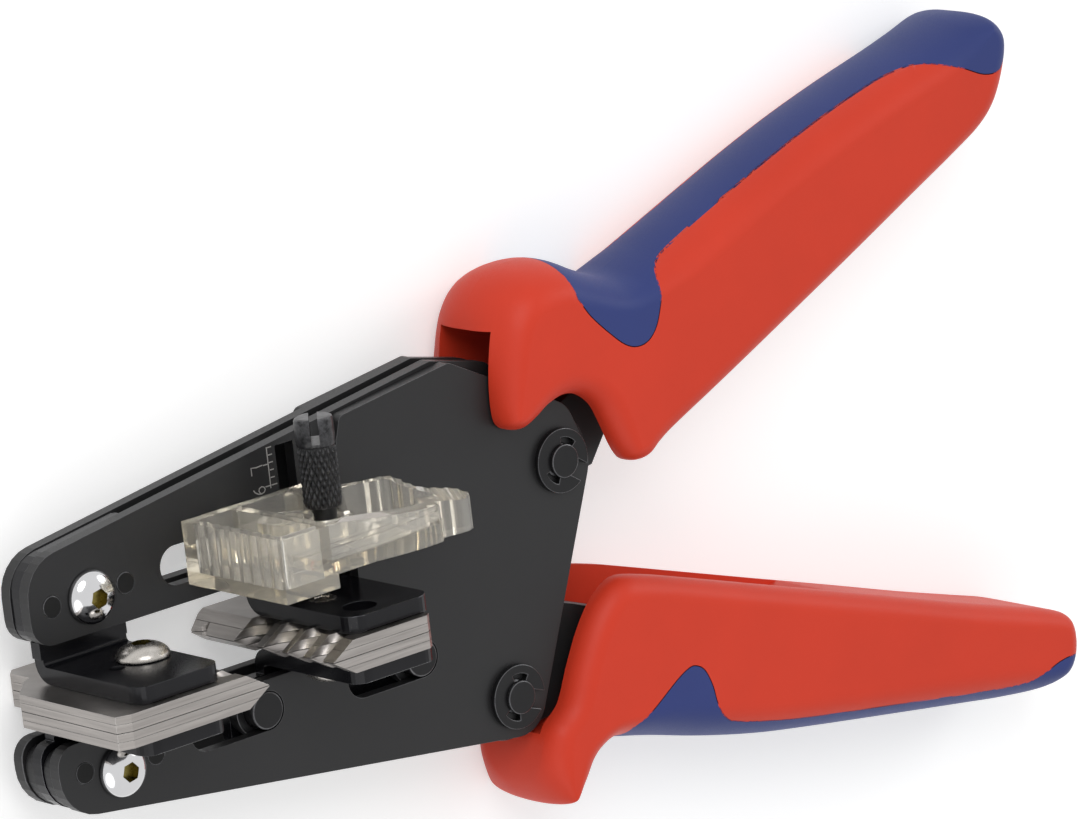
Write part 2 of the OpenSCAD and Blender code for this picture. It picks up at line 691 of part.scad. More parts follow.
// The flat spiral that opens the handles
function spiral_point(k, offset) =
    let (turn = 360 * spring_turns * k / spring_steps,
         r = spring_inner_r + offset + spring_pitch * turn / 360)
    r * [cos(turn), sin(turn)];

module handle_spring() color([0.45, 0.45, 0.46]) place()
    translate([lower_pin.x, lower_pin.y, -spring_half_h]) linear_extrude(2 * spring_half_h) polygon(concat(
        [for (k = [0 : spring_steps]) spiral_point(k, 0)],
        [for (k = [spring_steps : -1 : 0]) spiral_point(k, 0.75 * spring_wire)]
    ));

// Upper arm

module arm_plate(k) {
    difference() {
        layer(k) {
            polygon(rounded(head_points(arm_plate_shares)));
            circle(r = hub_r, $fn = fine);
        }
        drill(upper_pin, bore_r);
        for (x = guide_x) guide_slot(x, upper_slot_y);
        for (p = arm_rivets) drill(p, rivet_r + screw_clearance);
        drill(arm_screw, screw_bore_r);
    }
}

module upper_arm_rear_plate() color([0.19, 0.19, 0.20]) place() arm_plate(2);

module upper_arm_front_plate() color([0.19, 0.19, 0.20]) place() difference() {
    arm_plate(4);
    translate([key_x - key_w / 2 - key_clearance, key_slot_y[0], 0])
        cube([key_w + 2 * key_clearance, key_slot_y[1] - key_slot_y[0], stack_half]);
}

module left_blade_bracket() color([0.12, 0.12, 0.13]) place() difference() {
    union() {
        layer(3) polygon(rounded(head_points(arm_filler_shares)));
        bent_flat(left_flat_x, blade_flat_y, 1, leg_root_y[0]);
    }
    for (p = arm_rivets) drill(p, rivet_r + screw_clearance);
    drill(arm_screw, screw_bore_r);
    flat_drill(left_jaw_screw, screw_bore_r);
    for (dx = [-1, 1]) flat_drill(left_jaw_screw + [dx * locating_step, 0.2 * locating_step], locating_hole_r);
}

module left_blade_plates() color([0.62, 0.61, 0.60]) place()
    jaw_pair(left_tip, -1, left_plan, left_jaw_screw, 1);

module left_blade_screw() color([0.75, 0.74, 0.72]) place() jaw_screw(left_jaw_screw, 1);

arm_half = layer_pitch + plate_t / 2;

module upper_arm_rivets() color([0.16, 0.16, 0.17]) place() rivets(arm_rivets, arm_half);

module upper_arm_screw() color([0.80, 0.80, 0.80]) place() plate_screw(arm_screw, arm_half);

// Sliders

module slider(right, y, seat_y, side, leg_y) {
    outline = rounded([
        [slider_left, y[0], slider_corner_r], [right, y[0], slider_corner_r],
        [right, y[1], slider_corner_r], [slider_left, y[1], slider_corner_r]
    ]);
    layer(3) polygon(outline);
    bent_flat(slider_flat_x, seat_y, side, leg_y);
}

module blade_slider() color([0.12, 0.12, 0.13]) place() difference() {
    slider(blade_slider_right, blade_slider_y, blade_flat_y, 1, blade_slider_y[0] + flat_t);
    for (x = guide_x) drill([x, upper_slot_y], guide_r + screw_clearance);
    flat_drill(right_jaw_screw, screw_bore_r);
    flat_drill(flat_hole, flat_hole_r);
}

module right_blade_plates() color([0.68, 0.66, 0.62]) place()
    jaw_pair(right_tip, 1, right_plan, right_jaw_screw, 1);

// A low countersunk screw, which leaves the flat clear for the stop above it
module flush_jaw_screw(at, side) {
    length = flat_t + jaw_half - 2 * jaw_plate_gap;
    translate([at.x, divide_y + side * (jaw_half + flat_t), at.y]) rotate([-90 * side, 0, 0])
        difference() {
            translate([0, 0, -length]) cylinder(r = screw_r, h = length, $fn = fine);
            translate([0, 0, -socket_depth]) cylinder(r = socket_r, h = socket_depth + cut, $fn = 6);
        }
}

module right_blade_screw() color([0.60, 0.59, 0.57]) place() flush_jaw_screw(right_jaw_screw, 1);

module guide_pins(y, half) {
    for (x = guide_x) translate([x, y, -half]) cylinder(r = guide_r, h = 2 * half, $fn = fine);
}

module blade_guide_pins() color([0.16, 0.16, 0.17]) place() guide_pins(upper_slot_y, arm_half);

module clamp_slider() color([0.12, 0.12, 0.13]) place() difference() {
    slider(clamp_slider_right, clamp_slider_y, clamp_flat_y, -1, clamp_slider_y[1] - flat_t);
    for (x = guide_x) drill([x, lower_slot_y], guide_r + screw_clearance);
    flat_drill(right_jaw_screw, screw_bore_r);
}

module right_clamp_plates() color([0.72, 0.71, 0.68]) place()
    jaw_pair(right_tip, 1, right_plan, right_jaw_screw, -1);

module right_clamp_screw() color([0.75, 0.74, 0.72]) place() jaw_screw(right_jaw_screw, -1);

module clamp_guide_pins() color([0.15, 0.15, 0.16]) place() guide_pins(lower_slot_y, stack_half);

module clamp_guide_bushes() color([0.35, 0.35, 0.36]) place() {
    bush_r = 1.45 * guide_r;
    for (x = guide_x, k = [2, 4]) translate([x, lower_slot_y, layer_z(k)]) difference() {
        cylinder(r = bush_r, h = plate_t, $fn = fine);
        translate([0, 0, -cut]) cylinder(r = guide_r + screw_clearance, h = plate_t + 2 * cut, $fn = fine);
    }
}

// Handles

// A nose that tapers from a hub to a round tip
module nose(k, from, to) {
    along = unit(to - from);
    aside = [-along.y, along.x];
    tip_half = nose_tip_share * nose_r;
    layer(k) translate(to) circle(r = nose_r, $fn = fine);
    layer(k) polygon([from + nose_root_r * aside, to + tip_half * aside, to - tip_half * aside,
                      from - nose_root_r * aside]);
}

module upper_lever() color([0.20, 0.20, 0.21]) place() difference() {
    union() {
        layer(3) circle(r = hub_r, $fn = fine);
        nose(3, upper_pin, upper_nose);
        layer(3) polygon(sized(upper_tang_shares, grip_reach));
    }
    drill(upper_pin, bore_r);
}

module lower_lever() color([0.20, 0.20, 0.21]) place() difference() {
    for (k = [2, 4]) {
        layer(k) translate(lower_pin) circle(r = hub_r, $fn = fine);
        nose(k, lower_pin, lower_nose);
        layer(k) translate(lower_pin) polygon(sized(lower_tang_shares, grip_reach));
    }
    drill(lower_pin, bore_r);
    drill(lower_nose, drive_pin_r + pin_clearance);
}

module lower_drive_pin() color([0.55, 0.55, 0.56]) place() translate([lower_nose.x, lower_nose.y, 0]) {
    translate([0, 0, -arm_half]) cylinder(r = drive_pin_r, h = 2 * arm_half, $fn = medium);
    translate([0, 0, -plate_t / 2]) cylinder(r = drive_roller_r, h = plate_t, $fn = medium);
}

// A block over an outline. Its edges are rounded, and the side that faces outer is
// crowned from face to face.
module rounded_block(points, outer) {
    n = len(points);
    sunk = depths(points, [for (i = [0 : n - 1]) grip_edge_r + crown_at(points, i, outer) * (crown_depth - grip_edge_r)]);
    tall = [for (i = [0 : n - 1]) grip_edge_r + crown_at(points, i, outer) * (grip_half - grip_edge_r)];
    rings = [for (side = [-1, 1], k = [0 : edge_steps])
        let (a = 90 * (side < 0 ? k : edge_steps - k) / edge_steps)
        [for (i = [0 : n - 1])
            let (p = points[i] + sunk[i] * (1 - sin(a)) * normal_at(points, i))
            [p.x, p.y, side * (grip_half - tall[i] * (1 - cos(a)))]]];
    last = len(rings) - 1;
    polyhedron(
        points = [for (ring = rings) each ring],
        faces = concat(
            [[for (i = [n - 1 : -1 : 0]) i]],
            [[for (i = [0 : n - 1]) last * n + i]],
            [for (r = [0 : last - 1], i = [0 : n - 1])
                [r * n + i, r * n + (i + 1) % n, (r + 1) * n + (i + 1) % n]],
            [for (r = [0 : last - 1], i = [0 : n - 1])
                [r * n + i, (r + 1) * n + (i + 1) % n, (r + 1) * n + i]]
        )
    );
}

// Through cut over an outline, as wide across the plates as w
module channel(pin, shares, w) {
    translate([pin.x, pin.y, -w / 2]) linear_extrude(w) polygon(sized(shares, grip_reach));
}

module grip_body(points, outer, pin, channel_shares, tang_shares, tang_half) {
    difference() {
        rounded_block(points, outer);
        channel(pin, channel_shares, channel_w);
        channel(pin, tang_shares, 2 * tang_half + 2 * tang_clearance);
    }
}

module upper_grip() color([0.76, 0.24, 0.17]) place() resize([0, 0, grip_t]) difference() {
    grip_body(upper_grip_points, upper_outer, upper_pin, upper_channel_shares, upper_tang_shares, plate_t / 2);
    channel(upper_pin, upper_inlay_shares, 2 * grip_t);
}

module upper_grip_inlay() color([0.20, 0.25, 0.45]) place() resize([0, 0, grip_t]) intersection() {
    grip_body(upper_grip_points, upper_outer, upper_pin, upper_channel_shares, upper_tang_shares, plate_t / 2);
    channel(upper_pin, upper_inlay_shares, 2 * grip_t);
}

module lower_grip() color([0.76, 0.24, 0.17]) place() resize([0, 0, grip_t]) difference() {
    grip_body(lower_grip_points, lower_outer, lower_pin, lower_channel_shares, lower_tang_shares, arm_half);
    channel(lower_pin, lower_inlay_shares, 2 * grip_t);
}

module lower_grip_inlay() color([0.20, 0.25, 0.45]) place() resize([0, 0, grip_t]) intersection() {
    grip_body(lower_grip_points, lower_outer, lower_pin, lower_channel_shares, lower_tang_shares, arm_half);
    channel(lower_pin, lower_inlay_shares, 2 * grip_t);
}

// Length stop

stop_outline = [for (p = stop_plan_shares) [stop_x + p.x * stop_length, stop_back + p.y * stop_depth]];
hollow_outline = [for (i = [0 : len(stop_outline) - 1])
    stop_outline[i] + stop_wall * mitre_at(stop_outline, i)];

// The hollow of the stop between two stations along it, above a floor
module stop_hollow(from_x, to_x, floor_y) {
    intersection() {
        plan_prism(hollow_outline, floor_y, stop_y + stop_h + cut);
        translate([from_x, floor_y, 0]) cube([to_x - from_x, stop_h + cut, 2 * (stop_back + stop_depth)]);
    }
}

module length_stop() color([0.90, 0.86, 0.70, 0.5]) place() difference() {
    step_x = stop_x + stop_step_x_share * stop_length;
    union() {
        difference() {
            plan_prism(stop_outline, stop_y, stop_y + stop_h);
            stop_hollow(stop_x, step_x - stop_wall, stop_y + stop_wall);
            stop_hollow(step_x, stop_x + stop_length, stop_y + stop_step_h + stop_wall);
            translate([step_x, stop_y - cut, 0])
                cube([stop_length, stop_step_h + cut, 2 * (stop_back + stop_depth)]);
        }
        stop_boss([knob_x, knob_z], boss_r, knob_y);
        stop_boss(spare_boss_at, spare_boss_r, spare_boss_y);
    }
    stop_bore(spare_boss_at, spare_boss_r - boss_wall, stop_y + stop_step_h + stop_wall - boss_recess);
    stop_bore([knob_x, knob_z], knob_bore_r, stop_y - cut);
}

// A round boss on the stop's floor up to a level, and a bore down to one
module stop_boss(at, r, top_y) {
    translate([at.x, stop_y + stop_step_h, at.y]) rotate([-90, 0, 0])
        cylinder(r = r, h = top_y - stop_y - stop_step_h, $fn = fine);
}

module stop_bore(at, r, from_y) {
    translate([at.x, from_y, at.y]) rotate([-90, 0, 0])
        cylinder(r = r, h = stop_h + 2 * cut, $fn = fine);
}

module stop_key() color([0.90, 0.86, 0.70, 0.5]) place() translate([0, 0, key_back])
    linear_extrude(stop_back - key_back) polygon(rounded([
        for (c = [[-1, 0], [1, 0], [1, 1], [-1, 1]])
            [key_x + c.x * key_w / 2, key_y + c.y * key_l, 0.3 * key_w]
    ]));

// The knurled screw, along +Y
module stop_screw() color([0.10, 0.10, 0.11]) place() translate([knob_x, knob_y, knob_z]) rotate([-90, 0, 0])
    difference() {
        union() {
            translate([0, 0, -knob_tail_l]) cylinder(r = knob_neck_r, h = knob_tail_l + 2 * knob_neck_h, $fn = fine);
            translate([0, 0, knob_neck_h]) cylinder(r = knob_r - knurl_depth, h = knob_h - knob_neck_h, $fn = fine);
            translate([0, 0, knob_h - knob_head_h]) cylinder(r = knob_r, h = knob_head_h, $fn = fine);
            translate([0, 0, knob_neck_h])
                for (i = [0 : knurl_count - 1]) rotate([0, 0, 360 * i / knurl_count])
                    translate([knob_r - 2.5 * knurl_depth, -knurl_depth, 0])
                        cube([2 * knurl_depth, 2 * knurl_depth, knob_h - knob_head_h - 2 * knob_neck_h]);
        }
        translate([-knob_d, -knob_slot_w / 2, knob_h - knob_slot_depth])
            cube([2 * knob_d, knob_slot_w, knob_slot_depth + cut]);
    }

rear_side_plate();
front_side_plate();
lower_arm_spacers();
left_clamp_bracket();
left_clamp_plates();
left_clamp_screw();
lower_arm_rivets();
lower_arm_screw();
upper_handle_pin();
lower_handle_pin();
pin_clips();
handle_spring();
upper_arm_rear_plate();
upper_arm_front_plate();
left_blade_bracket();
left_blade_plates();
left_blade_screw();
upper_arm_rivets();
upper_arm_screw();
blade_slider();
right_blade_plates();
right_blade_screw();
blade_guide_pins();
clamp_slider();
right_clamp_plates();
right_clamp_screw();
clamp_guide_pins();
clamp_guide_bushes();
upper_lever();
upper_grip();
upper_grip_inlay();
lower_lever();
lower_drive_pin();
lower_grip();
lower_grip_inlay();
length_stop();
stop_key();
stop_screw();
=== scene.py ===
"""Studio scene of an automatic wire stripper that lies on its back on a pale floor.

Lengths are millimetres of the working frame unless a name or a docstring says metres. The
working frame has its origin on the upper handle pin's axis at the middle of the plates, with
X towards the handles, Y from the lower arm to the upper arm and Z up through the plates.
"""
import logging
import math
from dataclasses import dataclass, field
from enum import Enum
from functools import cached_property
from typing import Sequence

import bmesh
import bpy
from mathutils import Matrix, Vector


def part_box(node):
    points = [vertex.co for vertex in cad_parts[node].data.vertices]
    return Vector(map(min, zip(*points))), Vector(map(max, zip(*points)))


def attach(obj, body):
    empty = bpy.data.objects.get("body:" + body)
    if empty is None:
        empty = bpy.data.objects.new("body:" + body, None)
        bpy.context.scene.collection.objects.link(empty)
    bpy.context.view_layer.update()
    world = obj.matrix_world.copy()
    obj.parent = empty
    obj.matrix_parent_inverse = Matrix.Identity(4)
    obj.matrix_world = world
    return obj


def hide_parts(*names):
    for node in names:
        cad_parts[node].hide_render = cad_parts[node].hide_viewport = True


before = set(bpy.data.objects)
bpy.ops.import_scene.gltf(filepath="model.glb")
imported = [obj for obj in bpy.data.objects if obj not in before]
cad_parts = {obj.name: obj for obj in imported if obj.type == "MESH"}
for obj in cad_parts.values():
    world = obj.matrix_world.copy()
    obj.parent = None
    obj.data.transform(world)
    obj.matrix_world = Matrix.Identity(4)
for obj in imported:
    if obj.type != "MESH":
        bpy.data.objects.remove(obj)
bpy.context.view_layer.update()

MM = 0.001
LOG = logging.getLogger("wire_stripper")

Point2 = tuple[float, float]
Point3 = tuple[float, float, float]
Table = Sequence[Point2]
Given = dict[str | int, object]
Socket = bpy.types.NodeSocket

WHITE = (1.0, 1.0, 1.0, 1.0)


class Carve(Enum):
    """How one mesh is cut with another."""

    REMOVE = "DIFFERENCE"
    KEEP = "INTERSECT"
    JOIN = "UNION"


class Grip(Enum):
    """The two handles of the tool."""

    UPPER = "upper"
    LOWER = "lower"


class Along(Enum):
    """The direction of a fastener's or a bore's axis, as a turn about X from the Z axis."""

    Z_UP = 0.0
    Y_UP = -90.0
    Y_DOWN = 90.0

    def matrix(self) -> Matrix:
        """The rotation that takes the Z axis to this direction."""
        return Matrix.Rotation(math.radians(self.value), 4, "X")


def origin() -> Vector:
    """The working frame's origin in metres, which is the middle of the upper handle pin."""
    low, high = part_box("upper_handle_pin")
    return (Vector(low) + Vector(high)) / 2


BASE = origin()


def metres(point: Sequence[float]) -> Vector:
    """The place in metres of the scene of a point of the working frame."""
    return BASE + Vector(point) * MM


def placed(name: str, data: bpy.types.ID) -> bpy.types.Object:
    """Make an object and put it into the scene.

    Args:
        name: Name of the object.
        data: Its mesh, camera or lamp.

    Returns:
        The object.
    """
    thing = bpy.data.objects.new(name, data)
    bpy.context.scene.collection.objects.link(thing)
    return thing


# Shader nodes


class Wiring:
    """A node tree, and short ways to wire it."""

    def __init__(self, tree: bpy.types.NodeTree) -> None:
        """Take up a tree."""
        self.tree, self.nodes = tree, tree.nodes

    def feed(self, node: bpy.types.Node, given: Given) -> bpy.types.Node:
        """Fill the inputs of a node.

        Args:
            node: The node.
            given: A socket to link, or a value to set, by the input's name or number.

        Returns:
            The node.
        """
        for key, value in given.items():
            if isinstance(value, Socket):
                self.tree.links.new(value, node.inputs[key])
            else:
                node.inputs[key].default_value = value
        return node

    def add(self, kind: str, given: Given, **settings: object) -> bpy.types.Node:
        """Make a shader node.

        Args:
            kind: Its type, without the prefix.
            given: What its inputs get, as for feed.
            settings: Its own settings.

        Returns:
            The node.
        """
        node = self.nodes.new("ShaderNode" + kind)
        for key, value in settings.items():
            setattr(node, key, value)
        return self.feed(node, given)

    def span(self, value: Socket, low: float, high: float) -> Socket:
        """Map 0..1 to low..high."""
        return self.add("MapRange", {"Value": value, "To Min": low, "To Max": high}).outputs[0]

    def mask(self, value: Socket, low: float, high: float) -> Socket:
        """Map low..high to 0..1, clamped."""
        return self.add("MapRange", {"Value": value, "From Min": low, "From Max": high}).outputs[0]

    def mix(self, mask: Socket, below: Socket, above: object) -> Socket:
        """Mix one colour over another by a mask."""
        return self.add("Mix", {"Factor": mask, "A": below, "B": above}, data_type="RGBA").outputs["Result"]

    def sum_up(self, operation: str, first: Socket, second: Socket, clamp: bool = False) -> Socket:
        """Join two values by a named operation."""
        return self.add("Math", {0: first, 1: second}, operation=operation, use_clamp=clamp).outputs[0]

    def noise(self, vector: Socket, scale: Socket, detail: float, rough: float) -> Socket:
        """Noise on the given coordinates and scale."""
        return self.add("TexNoise", {"Vector": vector, "Scale": scale, "Detail": detail, "Roughness": rough}).outputs[0]

    def place(self) -> Socket:
        """The object's own coordinates."""
        return self.add("TexCoord", {}).outputs["Object"]

    def seen_rays(self) -> Socket:
        """One for camera, glossy and transmission rays, and zero for others.

        Returns:
            The socket that says so.
        """
        rays = self.add("LightPath", {}).outputs
        seen = self.sum_up("MAXIMUM", rays["Is Camera Ray"], rays["Is Glossy Ray"])
        return self.sum_up("MAXIMUM", seen, rays["Is Transmission Ray"])


class Group(Wiring):
    """A node group under construction."""

    def __init__(self, name: str, inputs: dict[str, object], outputs: dict[str, str]) -> None:
        """Make the group with its sockets.

        Args:
            name: Name of the group.
            inputs: The default of each input: a number, a vector of three or a colour of four.
            outputs: The kind of each output.
        """
        super().__init__(bpy.data.node_groups.new(name, "ShaderNodeTree"))
        sockets = self.tree.interface
        for label, value in inputs.items():
            kind = {1: "Float", 3: "Vector", 4: "Color"}[len(value) if isinstance(value, tuple) else 1]
            sockets.new_socket(label, in_out="INPUT", socket_type="NodeSocket" + kind).default_value = value
        for label, kind in outputs.items():
            sockets.new_socket(label, in_out="OUTPUT", socket_type="NodeSocket" + kind)
        self.given = self.nodes.new("NodeGroupInput").outputs
        self.out = self.nodes.new("NodeGroupOutput")

    def stretched(self) -> Socket:
        """The object's coordinates times the group's own stretch."""
        return self.add("VectorMath", {0: self.place(), 1: self.given["Stretch"]}, operation="MULTIPLY").outputs[0]


class Groups:
    """The shader node groups that the finishes share, each built on first use."""

    @cached_property
    def grain(self) -> bpy.types.NodeTree:
        """Fine grain that may be stretched into brushed or ground lines.

        Returns:
            A group with the outputs Height and Mask.
        """
        made = Group("Fine Grain", {"Scale": 2500.0, "Stretch": (1.0, 1.0, 1.0)}, {"Height": "Float", "Mask": "Float"})
        noise = made.noise(made.stretched(), made.given["Scale"], 3.0, 0.6)
        made.feed(made.out, {"Height": noise, "Mask": made.mask(noise, 0.35, 0.65)})
        return made.tree

    @cached_property
    def tone(self) -> bpy.types.NodeTree:
        """Broad and small patches between two colours.

        Returns:
            A group with the output Colour.
        """
        made = Group("Tone", {"Dark": (0.1, 0.1, 0.1, 1.0), "Light": (0.2, 0.2, 0.2, 1.0), "Scale": 60.0,
                              "Stretch": (1.0, 1.0, 1.0)}, {"Colour": "Color"})
        patches = made.mask(made.noise(made.stretched(), made.given["Scale"], 5.0, 0.62), 0.30, 0.70)
        made.feed(made.out, {"Colour": made.mix(patches, made.given["Dark"], made.given["Light"])})
        return made.tree

    @cached_property
    def wear(self) -> bpy.types.NodeTree:
        """Broken wear along outer edges.

        Returns:
            A group with the output Mask.
        """
        made = Group("Edge Wear", {"Amount": 0.5, "Scale": 900.0}, {"Mask": "Float"})
        edge = made.mask(made.add("NewGeometry", {}).outputs["Pointiness"], 0.505, 0.56)
        patches = made.mask(made.noise(made.place(), made.given["Scale"], 4.0, 0.7), 0.38, 0.62)
        broken = made.sum_up("MULTIPLY", edge, patches)
        made.feed(made.out, {"Mask": made.sum_up("MULTIPLY", broken, made.given["Amount"], True)})
        return made.tree


GROUPS = Groups()


class Bench(Wiring):
    """A material under construction."""

    def __init__(self, name: str) -> None:
        """Make the material with a Principled shader.

        Args:
            name: Name of the material.
        """
        self.material = bpy.data.materials.new(name)
        self.material.use_nodes = True
        super().__init__(self.material.node_tree)
        self.shader = self.nodes["Principled BSDF"]

    def group(self, tree: bpy.types.NodeTree, **values: object) -> bpy.types.NodeOutputs:
        """Place a node group with its own values, and give its outputs."""
        return self.add("Group", values, node_tree=tree).outputs

    def bump(self, height: Socket, depth_mm: float, strength: float) -> Socket:
        """A normal from a height from 0 to 1, whose relief is in millimetres."""
        return self.add("Bump", {"Height": height, "Distance": depth_mm * MM, "Strength": strength}).outputs["Normal"]


# Finishes


@dataclass(frozen=True)
class Finish:
    """A surface, whose material is made on first use."""

    name: str
    slot: str
    colour: Point3
    roughness: float

    def material(self) -> bpy.types.Material:
        """The Blender material of this finish.

        Returns:
            The one that is there already, or a new one.
        """
        known = bpy.data.materials.get(self.name)
        if known:
            return known
        bench = Bench(self.name)
        bench.feed(bench.shader, self.inputs(bench))
        return bench.material

    def patches(self, bench: Bench, low: float, high: float, **values: object) -> Socket:
        """Patches between the colour times low and the colour times high."""
        dark, light = ((*[min(1.0, c * factor) for c in self.colour], 1.0) for factor in (low, high))
        return bench.group(GROUPS.tone, Dark=dark, Light=light, **values)["Colour"]

    def inputs(self, bench: Bench) -> Given:
        """What the shader's inputs get."""
        raise NotImplementedError


@dataclass(frozen=True)
class Metal(Finish):
    """A metal surface: its colour, gloss, grain and worn edges."""

    metallic: float = 1.0
    spread: float = 0.14
    patch: float = 90.0
    grain: float = 3200.0
    stretch: Point3 = (1.0, 1.0, 1.0)
    relief: float = 0.006
    strength: float = 0.25
    wear: float = 0.0
    worn: Point3 = (0.22, 0.22, 0.23)
    specular: float = 0.5
    gloss_spread: float = 0.12

    def inputs(self, bench: Bench) -> Given:
        """Wire the tone, the grain and the worn edges.

        Args:
            bench: The material's nodes.

        Returns:
            What the shader's inputs get.
        """
        colour = self.patches(bench, 1 - self.spread, 1 + self.spread, Scale=self.patch, Stretch=self.stretch)
        grain = bench.group(GROUPS.grain, Scale=self.grain, Stretch=self.stretch)
        if self.wear > 0:
            colour = bench.mix(bench.group(GROUPS.wear, Amount=self.wear)["Mask"], colour, (*self.worn, 1.0))
        low, high = (self.roughness * (1 + side * self.gloss_spread) for side in (-1, 1))
        return {"Base Color": colour, "Metallic": self.metallic, "Roughness": bench.span(grain["Mask"], low, high),
                "Specular IOR Level": self.specular, "Normal": bench.bump(grain["Height"], self.relief, self.strength)}


@dataclass(frozen=True)
class Plastic(Finish):
    """A moulded plastic surface with a fine eroded grain."""

    spread: float = 0.05
    patch: float = 34.0
    grain: float = 5200.0
    relief: float = 0.02
    strength: float = 0.22
    specular: float = 0.26

    def inputs(self, bench: Bench) -> Given:
        """Wire the tone and the grain.

        Args:
            bench: The material's nodes.

        Returns:
            What the shader's inputs get.
        """
        grain = bench.group(GROUPS.grain, Scale=self.grain)
        return {"Base Color": self.patches(bench, 1 - self.spread, 1 + self.spread, Scale=self.patch),
                "Roughness": bench.span(grain["Mask"], self.roughness - 0.05, self.roughness + 0.06),
                "Specular IOR Level": self.specular, "Normal": bench.bump(grain["Height"], self.relief, self.strength)}


@dataclass(frozen=True)
class Clear(Finish):
    """A clear moulding: faint flow lines on the surface, and a warm tint in its depth."""

    depth_colour: Point3
    density: float
    index: float
    transmission: float = 0.87
    patch: float = 240.0
    grain: float = 420.0
    stretch: Point3 = (1.0, 0.35, 1.0)
    relief: float = 0.05
    strength: float = 0.18

    def inputs(self, bench: Bench) -> Given:
        """Wire the tone, the flow lines and the tint.

        Args:
            bench: The material's nodes.

        Returns:
            What the shader's inputs get.
        """
        grain = bench.group(GROUPS.grain, Scale=self.grain, Stretch=self.stretch)
        depth = bench.add("VolumeAbsorption", {"Color": (*self.depth_colour, 1.0), "Density": self.density})
        bench.feed(bench.nodes["Material Output"], {"Volume": depth.outputs["Volume"]})
        return {"Base Color": self.patches(bench, 0.965, 1.0, Scale=self.patch),
                "Roughness": bench.span(grain["Mask"], self.roughness * 0.6, self.roughness * 1.6),
                "Transmission Weight": self.transmission, "IOR": self.index,
                "Normal": bench.bump(grain["Height"], self.relief, self.strength)}


PLATE = Metal("blackened_plate", "dark_steel", (0.025, 0.025, 0.026), 0.42, metallic=0.45, spread=0.03, patch=110.0,
              grain=5200.0, strength=0.08, specular=0.42)
# Bevel faces of the plates: a lighter colour that paints the highlight along the rounded edges, with worn patches on
# top.
PLATE_EDGE_HIGHLIGHT = Metal("plate_edge_highlight", "dark_steel", (0.075, 0.075, 0.078), 0.32, metallic=0.7, spread=0.25, patch=260.0,
                   wear=0.5)
BRACKET = Metal("polished_black", "bracket_steel", (0.008, 0.008, 0.010), 0.22, metallic=0.25, spread=0.15,
                grain=2600.0, relief=0.004, strength=0.10, specular=0.30)
# Bevel faces of the brackets: a light colour that paints the bright highlight of their glossy rounded edges, with worn
# patches on top.
BRACKET_EDGE_HIGHLIGHT = Metal("polished_black_edge_highlight", "bracket_steel", (0.150, 0.150, 0.165), 0.18, metallic=0.8, spread=0.3,
                     wear=0.5)
JAW = Metal("ground_steel", "jaw_steel", (0.340, 0.318, 0.302), 0.34, spread=0.20, patch=420.0, grain=1500.0,
            stretch=(0.16, 4.5, 0.16), relief=0.02, strength=0.45)
# Bevel faces of the jaw plates: a lighter colour that paints the highlight along their edges.
JAW_EDGE_HIGHLIGHT = Metal("ground_steel_edge_highlight", "jaw_steel", (0.50, 0.49, 0.475), 0.26, spread=0.15, patch=500.0)
CHROME = Metal("bright_plating", "bright_screw", (0.62, 0.62, 0.63), 0.10, spread=0.04, grain=1800.0,
               relief=0.002, strength=0.1)
SATIN = Metal("satin_plating", "bright_screw", (0.46, 0.435, 0.405), 0.27, spread=0.10, grain=2600.0,
              strength=0.3, wear=0.2, worn=(0.75, 0.73, 0.70))
# Faces inside the hex sockets: a brass tint, darkened to paint the shade in the deep socket.
SOCKET_TINT_AND_SHADE = Metal("socket_brass_tint_and_painted_shade", "bright_screw", (0.20, 0.165, 0.05), 0.30, spread=0.35, patch=900.0)
PIN = Metal("black_oxide", "pin_steel", (0.012, 0.012, 0.013), 0.34, metallic=0.4, spread=0.15,
            grain=3600.0, strength=0.12, specular=0.35)
RIVET = Metal("sunk_rivet", "pin_steel", (0.011, 0.011, 0.011), 0.40, metallic=0.3, spread=0.15,
              grain=3600.0, strength=0.12, specular=0.2)
KNOB = Metal("knurled_black", "pin_steel", (0.012, 0.012, 0.013), 0.33, metallic=0.4, spread=0.2,
             grain=3600.0, wear=0.6, worn=(0.16, 0.16, 0.17), specular=0.35)
# Bevel faces of the pins, clips and rivets: a lighter colour that paints the highlight along their edges, with worn
# patches on top.
PIN_EDGE_HIGHLIGHT = Metal("black_oxide_edge_highlight", "pin_steel", (0.085, 0.085, 0.090), 0.30, metallic=0.7, spread=0.25, wear=0.5)
SPRING = Metal("spring_wire", "spring_steel", (0.33, 0.33, 0.34), 0.30, stretch=(1.0, 1.0, 0.2), wear=0.2)
RED = Plastic("moulded_red", "red_grip", (0.660, 0.046, 0.019), 0.46)
BLUE = Plastic("moulded_blue", "blue_inlay", (0.030, 0.047, 0.185), 0.52)
STOP = Clear("clear_moulding", "clear_stop", (1.0, 0.985, 0.95), 0.03, (0.96, 0.83, 0.50), 48.0, 1.45)
PRINT = Plastic("scale_print", "dark_steel", (0.30, 0.29, 0.28), 0.6, spread=0.2)


# Meshes


@dataclass
class Shape:
    """Points in millimetres of a local frame, and the faces between them."""

    points: list[Vector] = field(default_factory=list)
    faces: list[tuple[int, ...]] = field(default_factory=list)

    def made(self, name: str, turn: Matrix | None = None, at: Sequence[float] = (0.0, 0.0, 0.0)) -> bpy.types.Object:
        """Make a Blender object of the shape.

        Args:
            name: Name of the object.
            turn: Rotation of the shape about its own origin.
            at: Place of its origin in the working frame.

        Returns:
            The object, whose mesh is in metres of the scene.
        """
        mesh = bpy.data.meshes.new(name)
        turned = [(turn @ p if turn else p) + Vector(at) for p in self.points]
        mesh.from_pydata([metres(p) for p in turned], [], self.faces)
        skin = bmesh.new()
        skin.from_mesh(mesh)
        bmesh.ops.remove_doubles(skin, verts=skin.verts, dist=2e-6)
        bmesh.ops.recalc_face_normals(skin, faces=skin.faces)
        skin.to_mesh(mesh)
        skin.free()
        return placed(name, mesh)


